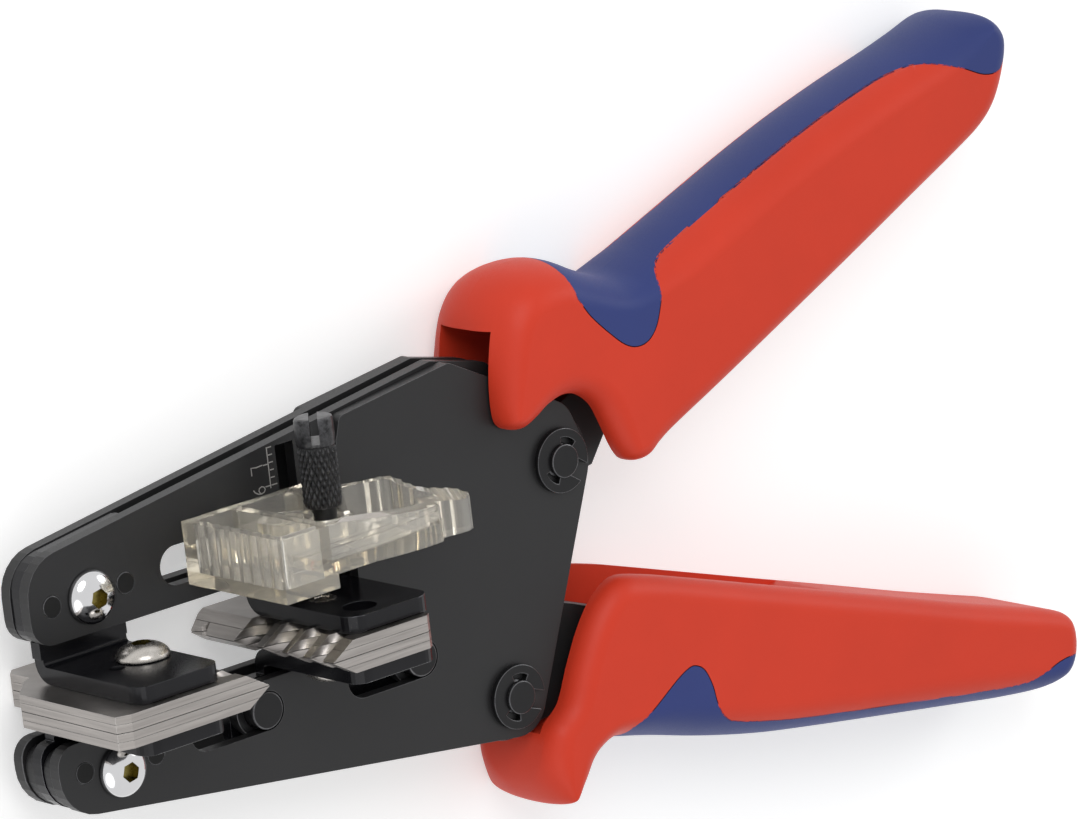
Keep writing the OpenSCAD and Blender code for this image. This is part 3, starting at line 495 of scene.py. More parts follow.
def loft(rings: Sequence[Sequence[Vector]]) -> Shape:
    """Join rings of equal length, in order along the skin, into a closed skin.

    Args:
        rings: Rings of points. The first and the last are filled.

    Returns:
        The skin.
    """
    count, last = len(rings[0]), len(rings) - 1
    shape = Shape([p for ring in rings for p in ring])
    for low in range(0, last * count, count):
        for i in range(count):
            j = (i + 1) % count
            shape.faces.append((low + i, low + j, low + count + j, low + count + i))
    shape.faces.append(tuple(range(count - 1, -1, -1)))
    shape.faces.append(tuple(last * count + i for i in range(count)))
    return shape


def prism(outline: Sequence[Vector], low: float, high: float) -> Shape:
    """A straight prism along Z over an outline in X and Y."""
    return loft([[Vector((p.x, p.y, z)) for p in outline] for z in (low, high)])


def upright(outline: Sequence[Vector], low: float, high: float) -> Shape:
    """A straight prism along Y from low to high over an outline in X and Z."""
    return loft([[Vector((p.x, y, p.y)) for p in outline] for y in (high, low)])


def turns(count: int) -> list[float]:
    """Angles evenly round an axis, in radians."""
    return [2 * math.pi * i / count for i in range(count)]


def lathe(profile: Table, count: int) -> Shape:
    """Turn a profile of radius and height, from the bottom up, about the Z axis."""
    return loft([[Vector((r * math.cos(a), r * math.sin(a), z)) for a in turns(count)] for r, z in profile])


def modify(piece: bpy.types.Object, name: str, kind: str, **settings: object) -> None:
    """Add a modifier.

    Args:
        piece: The object that gets it.
        name: Name of the modifier.
        kind: Its type.
        settings: Its own settings.
    """
    added = piece.modifiers.new(name, kind)
    for key, value in settings.items():
        setattr(added, key, value)


def carve(body: bpy.types.Object, tools: Sequence[bpy.types.Object], how: Carve) -> bpy.types.Object:
    """Cut a body with tools, which are used up.

    Args:
        body: The object that is cut.
        tools: The objects that cut it.
        how: The way in which they cut it.

    Returns:
        The body with its new mesh.
    """
    for tool in tools:
        modify(body, "carve", "BOOLEAN", operation=how.value, solver="MANIFOLD", object=tool)
    bpy.context.view_layer.update()
    mesh = bpy.data.meshes.new_from_object(body.evaluated_get(bpy.context.evaluated_depsgraph_get()))
    skin = bmesh.new()
    skin.from_mesh(mesh)
    bmesh.ops.dissolve_degenerate(skin, edges=skin.edges, dist=1e-6)
    bmesh.ops.dissolve_limit(skin, angle_limit=math.radians(0.05), verts=skin.verts, edges=skin.edges,
                             delimit={"MATERIAL"})
    skin.to_mesh(mesh)
    skin.free()
    body.modifiers.clear()
    body.data = mesh
    for tool in tools:
        bpy.data.objects.remove(tool)
    return body


def bevelled(piece: bpy.types.Object, width: float, over: float, slot: int = -1) -> None:
    """Round the edges of a piece.

    Args:
        piece: The object.
        width: Width of the rounding in millimetres.
        over: Least angle of an edge that is rounded, in degrees.
        slot: Material slot of the new faces, or -1 for the slot of their neighbours.
    """
    modify(piece, "edges", "BEVEL", width=width * MM, segments=2, limit_method="ANGLE",
           angle_limit=math.radians(over), material=slot)


def finished(piece: bpy.types.Object, sharp: float, body: str, nodes: Sequence[str], *looks: Finish) -> None:
    """Shade and dress a new piece, and let it ride on its body.

    Args:
        piece: The object.
        sharp: Angle over which its edges stay sharp, in degrees, or 0 for flat faces.
        body: The CAD body that it rides on.
        nodes: The CAD nodes that it stands for.
        looks: Its finishes, one for each material slot.
    """
    if sharp:
        piece.data.shade_smooth()
        piece.data.set_sharp_from_angle(angle=math.radians(sharp))
        modify(piece, "normals", "WEIGHTED_NORMAL", keep_sharp=True)
    if not any(piece.data.materials):
        piece.data.materials.clear()
        for look in looks:
            piece.data.materials.append(look.material())
    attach(piece, body)
    if nodes:
        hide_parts(*nodes)
    LOG.info("%s: %d faces, rides on %s", piece.name, len(piece.data.polygons), body)


@dataclass
class CadNode:
    """A rigid CAD node that keeps its mesh and gets its finish and softened edges, whose bevel faces may get a lighter
    finish that paints their highlight.
    """

    node: str
    face: Finish
    # Finish of the bevel faces, whose lighter colour is a painted highlight, or None for the face finish.
    edge: Finish | None
    bevel: float

    def dress(self) -> None:
        """Put the finishes on the node's object and soften its edges."""
        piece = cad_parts[self.node]
        piece.data.materials.clear()
        for look in filter(None, (self.face, self.edge)):
            piece.data.materials.append(look.material())
        modify(piece, "weld", "WELD", merge_threshold=1e-7)
        modify(piece, "flat faces", "DECIMATE", decimate_type="DISSOLVE", angle_limit=math.radians(0.4))
        # The bevel's faces take slot 1, the edge finish with its painted highlight.
        bevelled(piece, self.bevel, 32, 1 if self.edge else -1)
        modify(piece, "normals", "WEIGHTED_NORMAL", keep_sharp=True)
        LOG.info("%s: dressed in %s", self.node, self.face.name)


# Outlines


def cubic(a: Vector, b: Vector, c: Vector, d: Vector, steps: int) -> list[Vector]:
    """Stations from b up to c of a smooth curve through four points."""
    return [(2 * b + (c - a) * t + (2 * a - 5 * b + 4 * c - d) * t ** 2 + (3 * b - a - 3 * c + d) * t ** 3) / 2
            for t in (k / steps for k in range(steps))]


def curve(points: Sequence[Vector], steps: int) -> list[Vector]:
    """A smooth closed curve through points.

    Args:
        points: The points, in order.
        steps: How many stations there are from each point to the next.

    Returns:
        The stations.
    """
    n = len(points)
    return [p for i in range(n)
            for p in cubic(points[i - 1], points[i], points[(i + 1) % n], points[(i + 2) % n], steps)]


def open_curve(points: Sequence[Vector], steps: int) -> list[Vector]:
    """A smooth curve from the first point to the last, with the last."""
    ahead, behind = 2 * points[0] - points[1], 2 * points[-1] - points[-2]
    return curve([ahead, *points, behind], steps)[steps: steps * len(points) + 1]


def inward(points: Sequence[Vector], i: int) -> Vector:
    """The normal that points into a clockwise outline at one of its points."""
    d = (points[(i + 1) % len(points)] - points[i - 1]).normalized()
    return Vector((d.y, -d.x))


def mitre(points: Sequence[Vector], i: int) -> Vector:
    """The step that keeps both sides of a corner at one distance inside.

    Args:
        points: A clockwise outline.
        i: Number of the corner.

    Returns:
        The step for a distance of one.
    """
    before, after = points[i] - points[i - 1], points[(i + 1) % len(points)] - points[i]
    a, b = (Vector((d.y, -d.x)) for d in (before.normalized(), after.normalized()))
    return (a + b) / (1 + a.dot(b))


def bend(points: Sequence[Vector], i: int, straight: float = 0.001) -> float:
    """How sharply an outline bends at one of its points.

    Args:
        points: The outline.
        i: Number of the point.
        straight: Keeps the radius finite where the outline runs straight.

    Returns:
        The radius of the circle through the point and its two neighbours.
    """
    a, b, c = points[i - 1], points[i], points[(i + 1) % len(points)]
    area = abs((b - a).x * (c - a).y - (b - a).y * (c - a).x) / 2
    return (b - a).length * (c - b).length * (c - a).length / (4 * area + straight * (c - a).length ** 2)


def evened(values: Sequence[float], rounds: int) -> list[float]:
    """Even out values round a closed outline.

    Args:
        values: One value for each point.
        rounds: How often each value is mixed with its neighbours.

    Returns:
        The evened values.
    """
    out = list(values)
    for _ in range(rounds):
        out = [(out[i - 1] + 2 * out[i] + out[(i + 1) % len(out)]) / 4 for i in range(len(out))]
    return out


def sized(shares: Table, size: float, at: Vector) -> list[Vector]:
    """Points of a table of shares, for a size and a place."""
    return [at + Vector(p) * size for p in shares]


# Handles


@dataclass
class Handle:
    """A moulded handle: a red grip on a steel tang, with a blue inlay along its outer side."""

    which: Grip
    pin: Point3
    outline: Table
    inlay: Table
    channel: Table
    tang: Table
    outer: Point2
    tang_half: float
    reach: float = 100.0
    thickness: float = 19.4
    edge_r: float = 3.4
    crown: float = 6.0
    channel_w: float = 11.0
    seam: float = 0.07
    inset: float = 0.75
    edge_steps: int = 12
    finer: int = 3

    @property
    def half(self) -> float:
        """Half of the grip's thickness."""
        return self.thickness / 2

    def block(self) -> Shape:
        """The grip as one body: rounded edges, and a crown on its outer side.

        Returns:
            The body before any cut.
        """
        pin, outer = Vector(self.pin[:2]), Vector(self.outer)
        points = curve(sized(self.outline, self.reach, pin), self.finer)
        n = len(points)
        faces_out = evened([max(0.0, min(1.0, (-inward(points, i).dot(outer) - 0.3) / 0.4)) for i in range(n)], 5)
        bends = [bend(points, i) for i in range(n)]
        deep = evened([min(self.edge_r + c * (self.crown - self.edge_r),
                           self.inset * min(bends[(i + k) % n] for k in range(-2, 3)))
                       for i, c in enumerate(faces_out)], 10)
        tall = [self.edge_r + c * (self.half - self.edge_r) for c in faces_out]
        rings = []
        for side in (-1, 1):
            for k in range(self.edge_steps + 1):
                a = math.radians(90 * (k if side < 0 else self.edge_steps - k) / self.edge_steps)
                ring = []
                for i in range(n):
                    p = points[i] + inward(points, i) * deep[i] * (1 - math.sin(a))
                    ring.append(Vector((p.x, p.y, side * (self.half - tall[i] * (1 - math.cos(a))))))
                rings.append(curve(ring, self.finer))
        return loft(rings)

    def cutter(self, shares: Table, half: float, name: str) -> bpy.types.Object:
        """A prism across the grip over a table of shares."""
        return prism(sized(shares, self.reach, Vector(self.pin[:2])), -half, half).made(name)

    def seam_cutter(self, offset: float) -> bpy.types.Object:
        """The inlay's prism with its boundary moved outwards.

        Args:
            offset: Distance by which the boundary moves, in millimetres.

        Returns:
            The cutter.
        """
        points = sized(self.inlay, self.reach, Vector(self.pin[:2]))
        loop = [points[0], *open_curve(points[1:-1], 4), points[-1]]
        area = sum(a.x * b.y - a.y * b.x for a, b in zip(loop, loop[1:] + loop[:1]))
        sign = -1.0 if area < 0 else 1.0
        moved = [p - sign * inward(loop, i) * offset for i, p in enumerate(loop)]
        return prism(moved, -self.thickness, self.thickness).made("seam")

    def build(self) -> None:
        """Make the grip and the inlay, and dress them."""
        side = self.which.value
        body = self.block().made(f"{side}_grip_moulding")
        carve(body, [self.cutter(self.channel, self.channel_w / 2, "channel"),
                     self.cutter(self.tang, self.tang_half + 0.1, "tang")], Carve.REMOVE)
        inlay = placed(f"{side}_grip_soft_inlay", body.data.copy())
        carve(body, [self.seam_cutter(self.seam)], Carve.REMOVE)
        carve(inlay, [self.seam_cutter(-self.seam)], Carve.KEEP)
        for piece, node, look in ((body, f"{side}_grip", RED), (inlay, f"{side}_grip_inlay", BLUE)):
            finished(piece, 38, f"{side}_handle", [node], look)


UPPER_HANDLE = Handle(
    Grip.UPPER, (0.0, 0.0, 0.0),
    outline=[
        (-0.116, 0.096), (-0.115, 0.155), (-0.105, 0.220), (-0.084, 0.260), (-0.050, 0.283), (-0.005, 0.290),
        (0.040, 0.283), (0.088, 0.258), (0.143, 0.238), (0.200, 0.254), (0.261, 0.278), (0.382, 0.325),
        (0.470, 0.358), (0.561, 0.389), (0.660, 0.418), (0.756, 0.443), (0.822, 0.461), (0.870, 0.471),
        (0.906, 0.466), (0.927, 0.433), (0.922, 0.392), (0.897, 0.340), (0.862, 0.306), (0.805, 0.276),
        (0.710, 0.232), (0.581, 0.172), (0.440, 0.108), (0.306, 0.048), (0.187, -0.004), (0.145, -0.028),
        (0.112, -0.026), (0.094, -0.004), (0.078, 0.036), (0.062, 0.069), (0.036, 0.090), (0.004, 0.097),
        (-0.028, 0.090), (-0.056, 0.076), (-0.082, 0.068), (-0.106, 0.075)],
    inlay=[
        (0.025, 0.360), (0.032, 0.234), (0.052, 0.204), (0.084, 0.171), (0.110, 0.149), (0.132, 0.141),
        (0.154, 0.145), (0.172, 0.163), (0.185, 0.196), (0.193, 0.224), (0.212, 0.2445), (0.261, 0.267),
        (0.382, 0.3145), (0.470, 0.3475), (0.561, 0.3785), (0.660, 0.407), (0.715, 0.419), (0.760, 0.422),
        (0.815, 0.406), (0.862, 0.386), (0.895, 0.386), (0.922, 0.404), (0.960, 0.410), (0.960, 0.560)],
    channel=[
        (-0.150, -0.060), (-0.150, 0.213), (0.075, 0.213), (0.080, 0.100), (0.130, 0.070), (0.330, 0.070),
        (0.560, 0.150), (0.600, 0.100), (0.150, -0.080)],
    tang=[
        (-0.020, 0.060), (0.025, 0.057), (0.110, 0.098), (0.520, 0.262), (0.575, 0.240), (0.560, 0.206),
        (0.130, 0.012), (0.095, -0.035), (0.042, -0.046)],
    outer=(-0.399, 0.917), tang_half=1.0)

LOWER_HANDLE = Handle(
    Grip.LOWER, (-12.9, -31.8, 0.0),
    outline=[
        (1.080, -0.168), (1.087, -0.215), (1.070, -0.258), (1.030, -0.276), (0.960, -0.272), (0.880, -0.260),
        (0.786, -0.245), (0.680, -0.228), (0.570, -0.210), (0.468, -0.192), (0.390, -0.174), (0.330, -0.158),
        (0.262, -0.138), (0.200, -0.122), (0.160, -0.113), (0.124, -0.126), (0.097, -0.152), (0.068, -0.178),
        (0.043, -0.176), (0.025, -0.142), (0.024, -0.100), (0.038, -0.058), (0.071, -0.030), (0.095, 0.018),
        (0.123, 0.068), (0.155, 0.106), (0.195, 0.127), (0.249, 0.117), (0.330, 0.091), (0.440, 0.054),
        (0.580, 0.007), (0.724, -0.041), (0.860, -0.087), (0.970, -0.122), (1.040, -0.145)],
    inlay=[
        (0.160, -0.180), (0.181, -0.093), (0.223, -0.069), (0.266, -0.042), (0.290, -0.031), (0.304, -0.031),
        (0.320, -0.042), (0.332, -0.069), (0.339, -0.101), (0.355, -0.124), (0.385, -0.140), (0.500, -0.168),
        (0.690, -0.200), (0.860, -0.228), (0.955, -0.240), (0.992, -0.234), (1.028, -0.223), (1.062, -0.220),
        (1.110, -0.226), (1.110, -0.340)],
    channel=[
        (-0.030, -0.066), (0.065, -0.066), (0.130, 0.000), (0.205, 0.050), (0.560, -0.010), (0.620, 0.000),
        (0.300, 0.250), (-0.030, 0.250)],
    tang=[
        (0.010, 0.062), (0.110, 0.110), (0.240, 0.060), (0.640, -0.085), (0.660, -0.115), (0.630, -0.140),
        (0.210, -0.035), (0.040, -0.058)],
    outer=(-0.315, -0.949), tang_half=3.08)


# Screws


@dataclass
class ButtonScrew:
    """A button head screw with a hexagon socket."""

    node: str
    body: str
    along: Along
    look: Metal
    head_r: float = 3.8
    head_h: float = 2.2
    rim_h: float = 0.26
    shank_r: float = 2.0
    shank_chamfer: float = 0.25
    socket_r: float = 1.44
    socket_depth: float = 1.35
    socket_turn: float = 12.0
    dome_steps: int = 14
    dome_end: float = 82.0

    def seat(self) -> tuple[Vector, float]:
        """Where the head's seat lies and how long the screw is.

        Returns:
            The seat's centre in the working frame, and the length of the whole screw.
        """
        low, high = ((Vector(p) - BASE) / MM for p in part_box(self.node))
        middle, axis = (low + high) / 2, 2 if self.along is Along.Z_UP else 1
        middle[axis] = low[axis] + self.head_h if self.along is Along.Y_DOWN else high[axis] - self.head_h
        return middle, high[axis] - low[axis]

    def build(self) -> None:
        """Make the screw and dress it."""
        at, length = self.seat()
        turn = self.along.matrix()
        rise = [math.radians(self.dome_end * k / self.dome_steps) for k in range(self.dome_steps + 1)]
        dome = [(self.head_r * math.cos(a), self.rim_h + (self.head_h - self.rim_h) * math.sin(a)) for a in rise]
        foot, neck = self.head_h - length, self.shank_r - self.shank_chamfer
        shank = [(neck, foot), (self.shank_r, foot + self.shank_chamfer), (self.shank_r, 0.0)]
        rim = [(self.head_r - 0.18, 0.0), (self.head_r, 0.16)]
        crest = [(self.socket_r * 0.2, self.head_h)]
        piece = lathe(shank + rim + dome + crest, 72).made(self.node + "_turned", turn, at)
        hexagon = [Vector((self.socket_r * math.cos(a), self.socket_r * math.sin(a)))
                   for a in (math.radians(60 * i + self.socket_turn) for i in range(6))]
        tool = prism(hexagon, self.head_h - self.socket_depth, self.head_h + 1).made("socket", turn, at)
        for thing in (piece, tool):
            thing.data.materials.append(self.look.material())
            thing.data.materials.append(SOCKET_TINT_AND_SHADE.material())
        # The socket's faces take the darkened brass finish, which paints the shade inside the socket.
        for face in tool.data.polygons:
            face.material_index = 1
        finished(carve(piece, [tool], Carve.REMOVE), 34, self.body, [self.node], self.look)


@dataclass
class StopScrew:
    """The knurled screw that clamps the length stop, with a deep slot across its head."""

    at: Point3
    radius: float = 2.75
    neck_r: float = 1.74
    tail: float = 2.4
    knurl_low: float = 1.74
    knurl_high: float = 10.4
    top: float = 14.5
    ridges: int = 20
    pitch: float = 1.75
    depth: float = 0.30
    slot_w: float = 1.2
    slot_depth: float = 3.5
    slot_turn: float = 52.0
    stations: int = 92
    sides: int = 160

    def knurl(self, turn: float, height: float) -> float:
        """Radius of the knurled surface.

        Args:
            turn: Angle round the axis, in radians.
            height: Height above the screw's seat.

        Returns:
            The radius there.
        """
        along, up = self.ridges * turn / (2 * math.pi), height / self.pitch
        ridge = min(2 * abs(u - round(u)) for u in (along + up, along - up))
        ends = min(1.0, (height - self.knurl_low) / 0.5, (self.knurl_high - height) / 0.4)
        return self.radius - self.depth * (1 - ridge * max(0.0, ends))

    def build(self) -> None:
        """Make the screw and dress it."""
        r, low, high = self.radius, self.knurl_low, self.knurl_high
        below = [(self.neck_r - 0.3, -self.tail), (self.neck_r, 0.3 - self.tail), (self.neck_r, low),
                 (r - self.depth, low + 0.02)]
        above = [(r - self.depth, high), (r - 0.04, high + 0.12), (r, high + 0.3), (r, self.top - 0.45),
                 (r - 0.12, self.top - 0.16), (r - 0.42, self.top)]
        grip = [low + (high - low) * k / self.stations for k in range(1, self.stations)]
        angles = turns(self.sides)
        rows = [(z, [radius] * self.sides) for radius, z in below]
        rows += [(z, [self.knurl(a, z) for a in angles]) for z in grip]
        rows += [(z, [radius] * self.sides) for radius, z in above]
        rings = [[Vector((radius * math.cos(a), radius * math.sin(a), z)) for a, radius in zip(angles, radii)]
                 for z, radii in rows]
        upward = Along.Y_UP.matrix()
        piece = loft(rings).made("stop_screw_knurled", upward, self.at)
        half, long = self.slot_w / 2, 2 * r
        corners = [Vector((x, y)) for x, y in ((-long, -half), (long, -half), (long, half), (-long, half))]
        tool = prism(corners, self.top - self.slot_depth, self.top + 1).made(
            "slot", upward @ Matrix.Rotation(math.radians(self.slot_turn), 4, "Z"), self.at)
        finished(carve(piece, [tool], Carve.REMOVE), 36, "stop_screw", ["stop_screw"], KNOB)


# Length stop


@dataclass
class LengthStop:
    """The clear stop: a tray with a ring boss and a hooked arm with a ribbed thumb tip."""

    low: float = -1.4
    height: float = 9.0
    wall: float = 1.7
    back: float = 3.18
    left: float = -66.0
    length: float = 37.0
    depth: float = 21.8
    step_x: float = -56.75
    step_h: float = 1.98
    knob: Point2 = (-46.922, 10.483)
    knob_level: float = 4.18
    knob_boss_r: float = 4.2
    knob_bore_r: float = 1.79
    ring: Point2 = (-53.716, 11.006)
    ring_r: float = 3.584
    ring_wall: float = 1.3
    ring_level: float = 5.98
    plan: Table = (
        (0.0, 0.0), (0.0, 1.0), (0.378, 0.996), (0.581, 0.975), (0.730, 0.938), (0.788, 0.926), (0.796, 0.852),
        (0.850, 0.860), (0.925, 0.868), (0.980, 0.832), (1.0, 0.773), (0.978, 0.690), (0.919, 0.653), (0.860, 0.616),
        (0.832, 0.524), (0.827, 0.433), (0.784, 0.355), (0.703, 0.313), (0.638, 0.258), (0.622, 0.130), (0.622, 0.0))
    sharp: tuple[int, ...] = (0, 1, 5, 6, 20)
    steps: int = 8
    tip_x: float = -34.6
    flute: float = 2.3
    flute_depth: float = 0.42
    flute_steps: int = 60
    rib: float = 1.7
    rib_depth: float = 0.24
    slope: Point3 = (5.2, -0.16, -0.24)
    slope_at: Point2 = (-39.0, 23.6)
    groove_levels: Point2 = (2.5, 4.3)
    groove_w: float = 0.7
    groove_depth: float = 0.30

    def corners(self) -> list[Vector]:
        """Corner points of the plan in X and Z."""
        return [Vector((self.left + x * self.length, self.back + z * self.depth)) for x, z in self.plan]

    def curved(self, points: Sequence[Vector]) -> list[Vector]:
        """Run a curve through the plan's points, with the sharp ones kept.

        Args:
            points: Corner points of a plan.

        Returns:
            The outline, with straight runs between sharp points.
        """
        n, out = len(points), []
        for i in range(n):
            j = (i + 1) % n
            a, b, c, d = points[i - 1], points[i], points[j], points[(i + 2) % n]
            if i in self.sharp and j in self.sharp:
                out.append(b)
                continue
            if i in self.sharp:
                a = b - (c - b)
            if j in self.sharp:
                d = c + (c - b)
            out += cubic(a, b, c, d, self.steps)
        return out

    def serrated(self, outline: list[Vector]) -> list[Vector]:
        """Cut thumb ribs into the back curve and the tip.

        Args:
            outline: The smooth outline.

        Returns:
            The outline with shallow ribs that stay inside it.
        """
        out, run = [], 0.0
        for i, p in enumerate(outline):
            run += (p - outline[i - 1]).length if i else 0.0
            ribbed = (p.x - self.left) / self.length > 0.69 and p.y < self.back + 0.85 * self.depth
            depth = self.rib_depth * (1 - math.cos(2 * math.pi * run / self.rib)) if ribbed else 0.0
            out.append(p + inward(outline, i) * depth)
        return out

    def hollow(self, low_x: float, high_x: float, floor: float) -> bpy.types.Object:
        """The tray's hollow between two stations, above a floor, with a fluted left wall.

        Args:
            low_x: Left end of the hollow.
            high_x: Right end of the hollow.
            floor: Level of its floor.

        Returns:
            The cutter.
        """
        points = self.corners()
        outline = self.curved([p + mitre(points, i) * self.wall for i, p in enumerate(points)])
        first, last = outline[:2]
        flutes = []
        for k in range(1, self.flute_steps):
            z = first.y + (last.y - first.y) * k / self.flute_steps
            dent = self.flute_depth * abs(math.sin(math.pi * (z - first.y) / self.flute))
            flutes.append(Vector((first.x - dent, z)))
        outline[1:1] = flutes
        high = self.low + self.height + 1
        box = [Vector((x, z)) for x, z in ((low_x, 0.0), (low_x, 40.0), (high_x, 40.0), (high_x, 0.0))]
        reach = upright(box, floor - 1, high + 1).made("reach")
        return carve(upright(outline, floor, high).made("hollow"), [reach], Carve.KEEP)

    def post(self, at: Point2, radius: float, low: float, high: float) -> bpy.types.Object:
        """A round post along Y."""
        return lathe([(radius, low), (radius, high)], 64).made("post", Along.Y_UP.matrix(), (at[0], 0.0, at[1]))

    def lid(self) -> bpy.types.Object:
        """The space over the arm's sloping top.

        Returns:
            The cutter.
        """
        level, along, across = self.slope
        plan = ((-75.0, 0.0), (-75.0, 32.0), (-15.0, 32.0), (-15.0, 0.0))
        rings = [[Vector((x, level + along * (x - self.slope_at[0]) + across * (z - self.slope_at[1]) + rise, z))
                  for x, z in plan] for rise in (0.0, 30.0)]
        return loft(rings).made("lid")

    def groove(self, level: float) -> bpy.types.Object:
        """A long groove in the arm's front face.

        Args:
            level: Level of its lower edge.

        Returns:
            The cutter.
        """
        front = self.curved(self.corners())[2:32]
        inner = [p - Vector((0.0, self.groove_depth)) for p in front]
        outer = [p + Vector((0.0, 1.0)) for p in reversed(front)]
        return upright(inner + outer, level, level + self.groove_w).made("groove")

    def build(self) -> None:
        """Make the stop and dress it."""
        high, floor = self.low + self.height, self.low + self.step_h
        piece = upright(self.serrated(self.curved(self.corners())), self.low, high).made("length_stop_clear")
        under = [Vector(p) for p in ((self.step_x, self.low - 1), (self.step_x, floor), (-50.0, floor),
                                     (-40.0, floor - 0.7), (-20.0, floor - 1.1), (-20.0, self.low - 1))]
        carve(piece, [
            self.hollow(self.left, self.step_x - self.wall, self.low + self.wall),
            self.hollow(self.step_x, self.tip_x, floor + self.wall),
            prism(under, 0.0, 40.0).made("under"),
            self.lid(),
            *[self.groove(level) for level in self.groove_levels],
        ], Carve.REMOVE)
        carve(piece, [self.post(self.knob, self.knob_boss_r, floor + 0.01, self.knob_level),
                      self.post(self.ring, self.ring_r, floor + 0.02, self.ring_level)], Carve.JOIN)
        ring_bore = self.ring_r - self.ring_wall
        carve(piece, [self.post(self.knob, self.knob_bore_r, self.low - 1, high + 1),
                      self.post(self.ring, ring_bore, floor + 0.7 * self.wall, high + 1)], Carve.REMOVE)
        bevelled(piece, 0.16, 38)
        finished(piece, 30, "stop", ["length_stop"], STOP)


@dataclass
class ScaleMarks:
    """The millimetre scale printed on the upper arm, with two plain figures."""

    level: float = 3.08
    line_x: float = -49.95
    top: float = 14.0
    step: float = 1.07
    count: int = 6
    width: float = 0.16
    tick: float = 0.84
    long_tick: float = 1.36
    figure_h: float = 2.0
    raised: float = 0.012
    seven: Table = ((0.0, 1.0), (0.56, 1.0), (0.50, 0.55), (0.54, 0.0))
    six: Table = ((0.50, 1.02), (0.30, 0.88), (0.14, 0.62), (0.10, 0.34), (0.18, 0.10), (0.34, 0.0),
                  (0.52, 0.08), (0.60, 0.28), (0.52, 0.50), (0.34, 0.56), (0.18, 0.46), (0.11, 0.36))

    def stroke(self, shape: Shape, path: Table) -> None:
        """Add a flat line of even width along a path.

        Args:
            shape: The shape that it is added to.
            path: Points in X and Y.
        """
        points = [Vector(p) for p in path]
        start, n = len(shape.points), len(points)
        asides = []
        for i in range(n):
            d = (points[min(n - 1, i + 1)] - points[max(0, i - 1)]).normalized()
            asides.append(Vector((-d.y, d.x)) * self.width / 2)
        for z in (self.level + 0.002, self.level + self.raised):
            for side in (1, -1):
                shape.points += [(p + aside * side).to_3d() + Vector((0.0, 0.0, z)) for p, aside in zip(points, asides)]
        e = 2 * n
        for i in range(n - 1):
            a, b, c, d = start + i, start + i + 1, start + n + i + 1, start + n + i
            shape.faces += [(a, b, c, d), (d + e, c + e, b + e, a + e), (a + e, b + e, b, a), (d, c, c + e, d + e)]
        a, b = start, start + n
        shape.faces += [(a + e, a, b, b + e), (b + n - 1, a + n - 1, a + n - 1 + e, b + n - 1 + e)]

    def build(self) -> None:
        """Make the scale and dress it, with its figures turned a quarter to the left."""
        shape = Shape()
        foot = self.top - (self.count - 1) * self.step
        self.stroke(shape, [(self.line_x, self.top + 0.1), (self.line_x - 0.05, foot - 0.4)])
        for k in range(self.count):
            y, reach = self.top - k * self.step, self.tick * (self.long_tick if k == self.count - 1 else 1)
            self.stroke(shape, [(self.line_x + 0.12, y), (self.line_x + reach, y)])
        for figure, y in ((self.seven, self.top - 2 * self.step - 0.15), (self.six, foot)):
            self.stroke(shape, [(self.line_x - 1.05 - v * self.figure_h, y + (u - 0.5) * self.figure_h)
                                for u, v in figure])
            self.stroke(shape, [(self.line_x - 0.95, y), (self.line_x - 0.12, y)])
        finished(shape.made("arm_scale"), 0, "upper_arm", [], PRINT)


# Studio


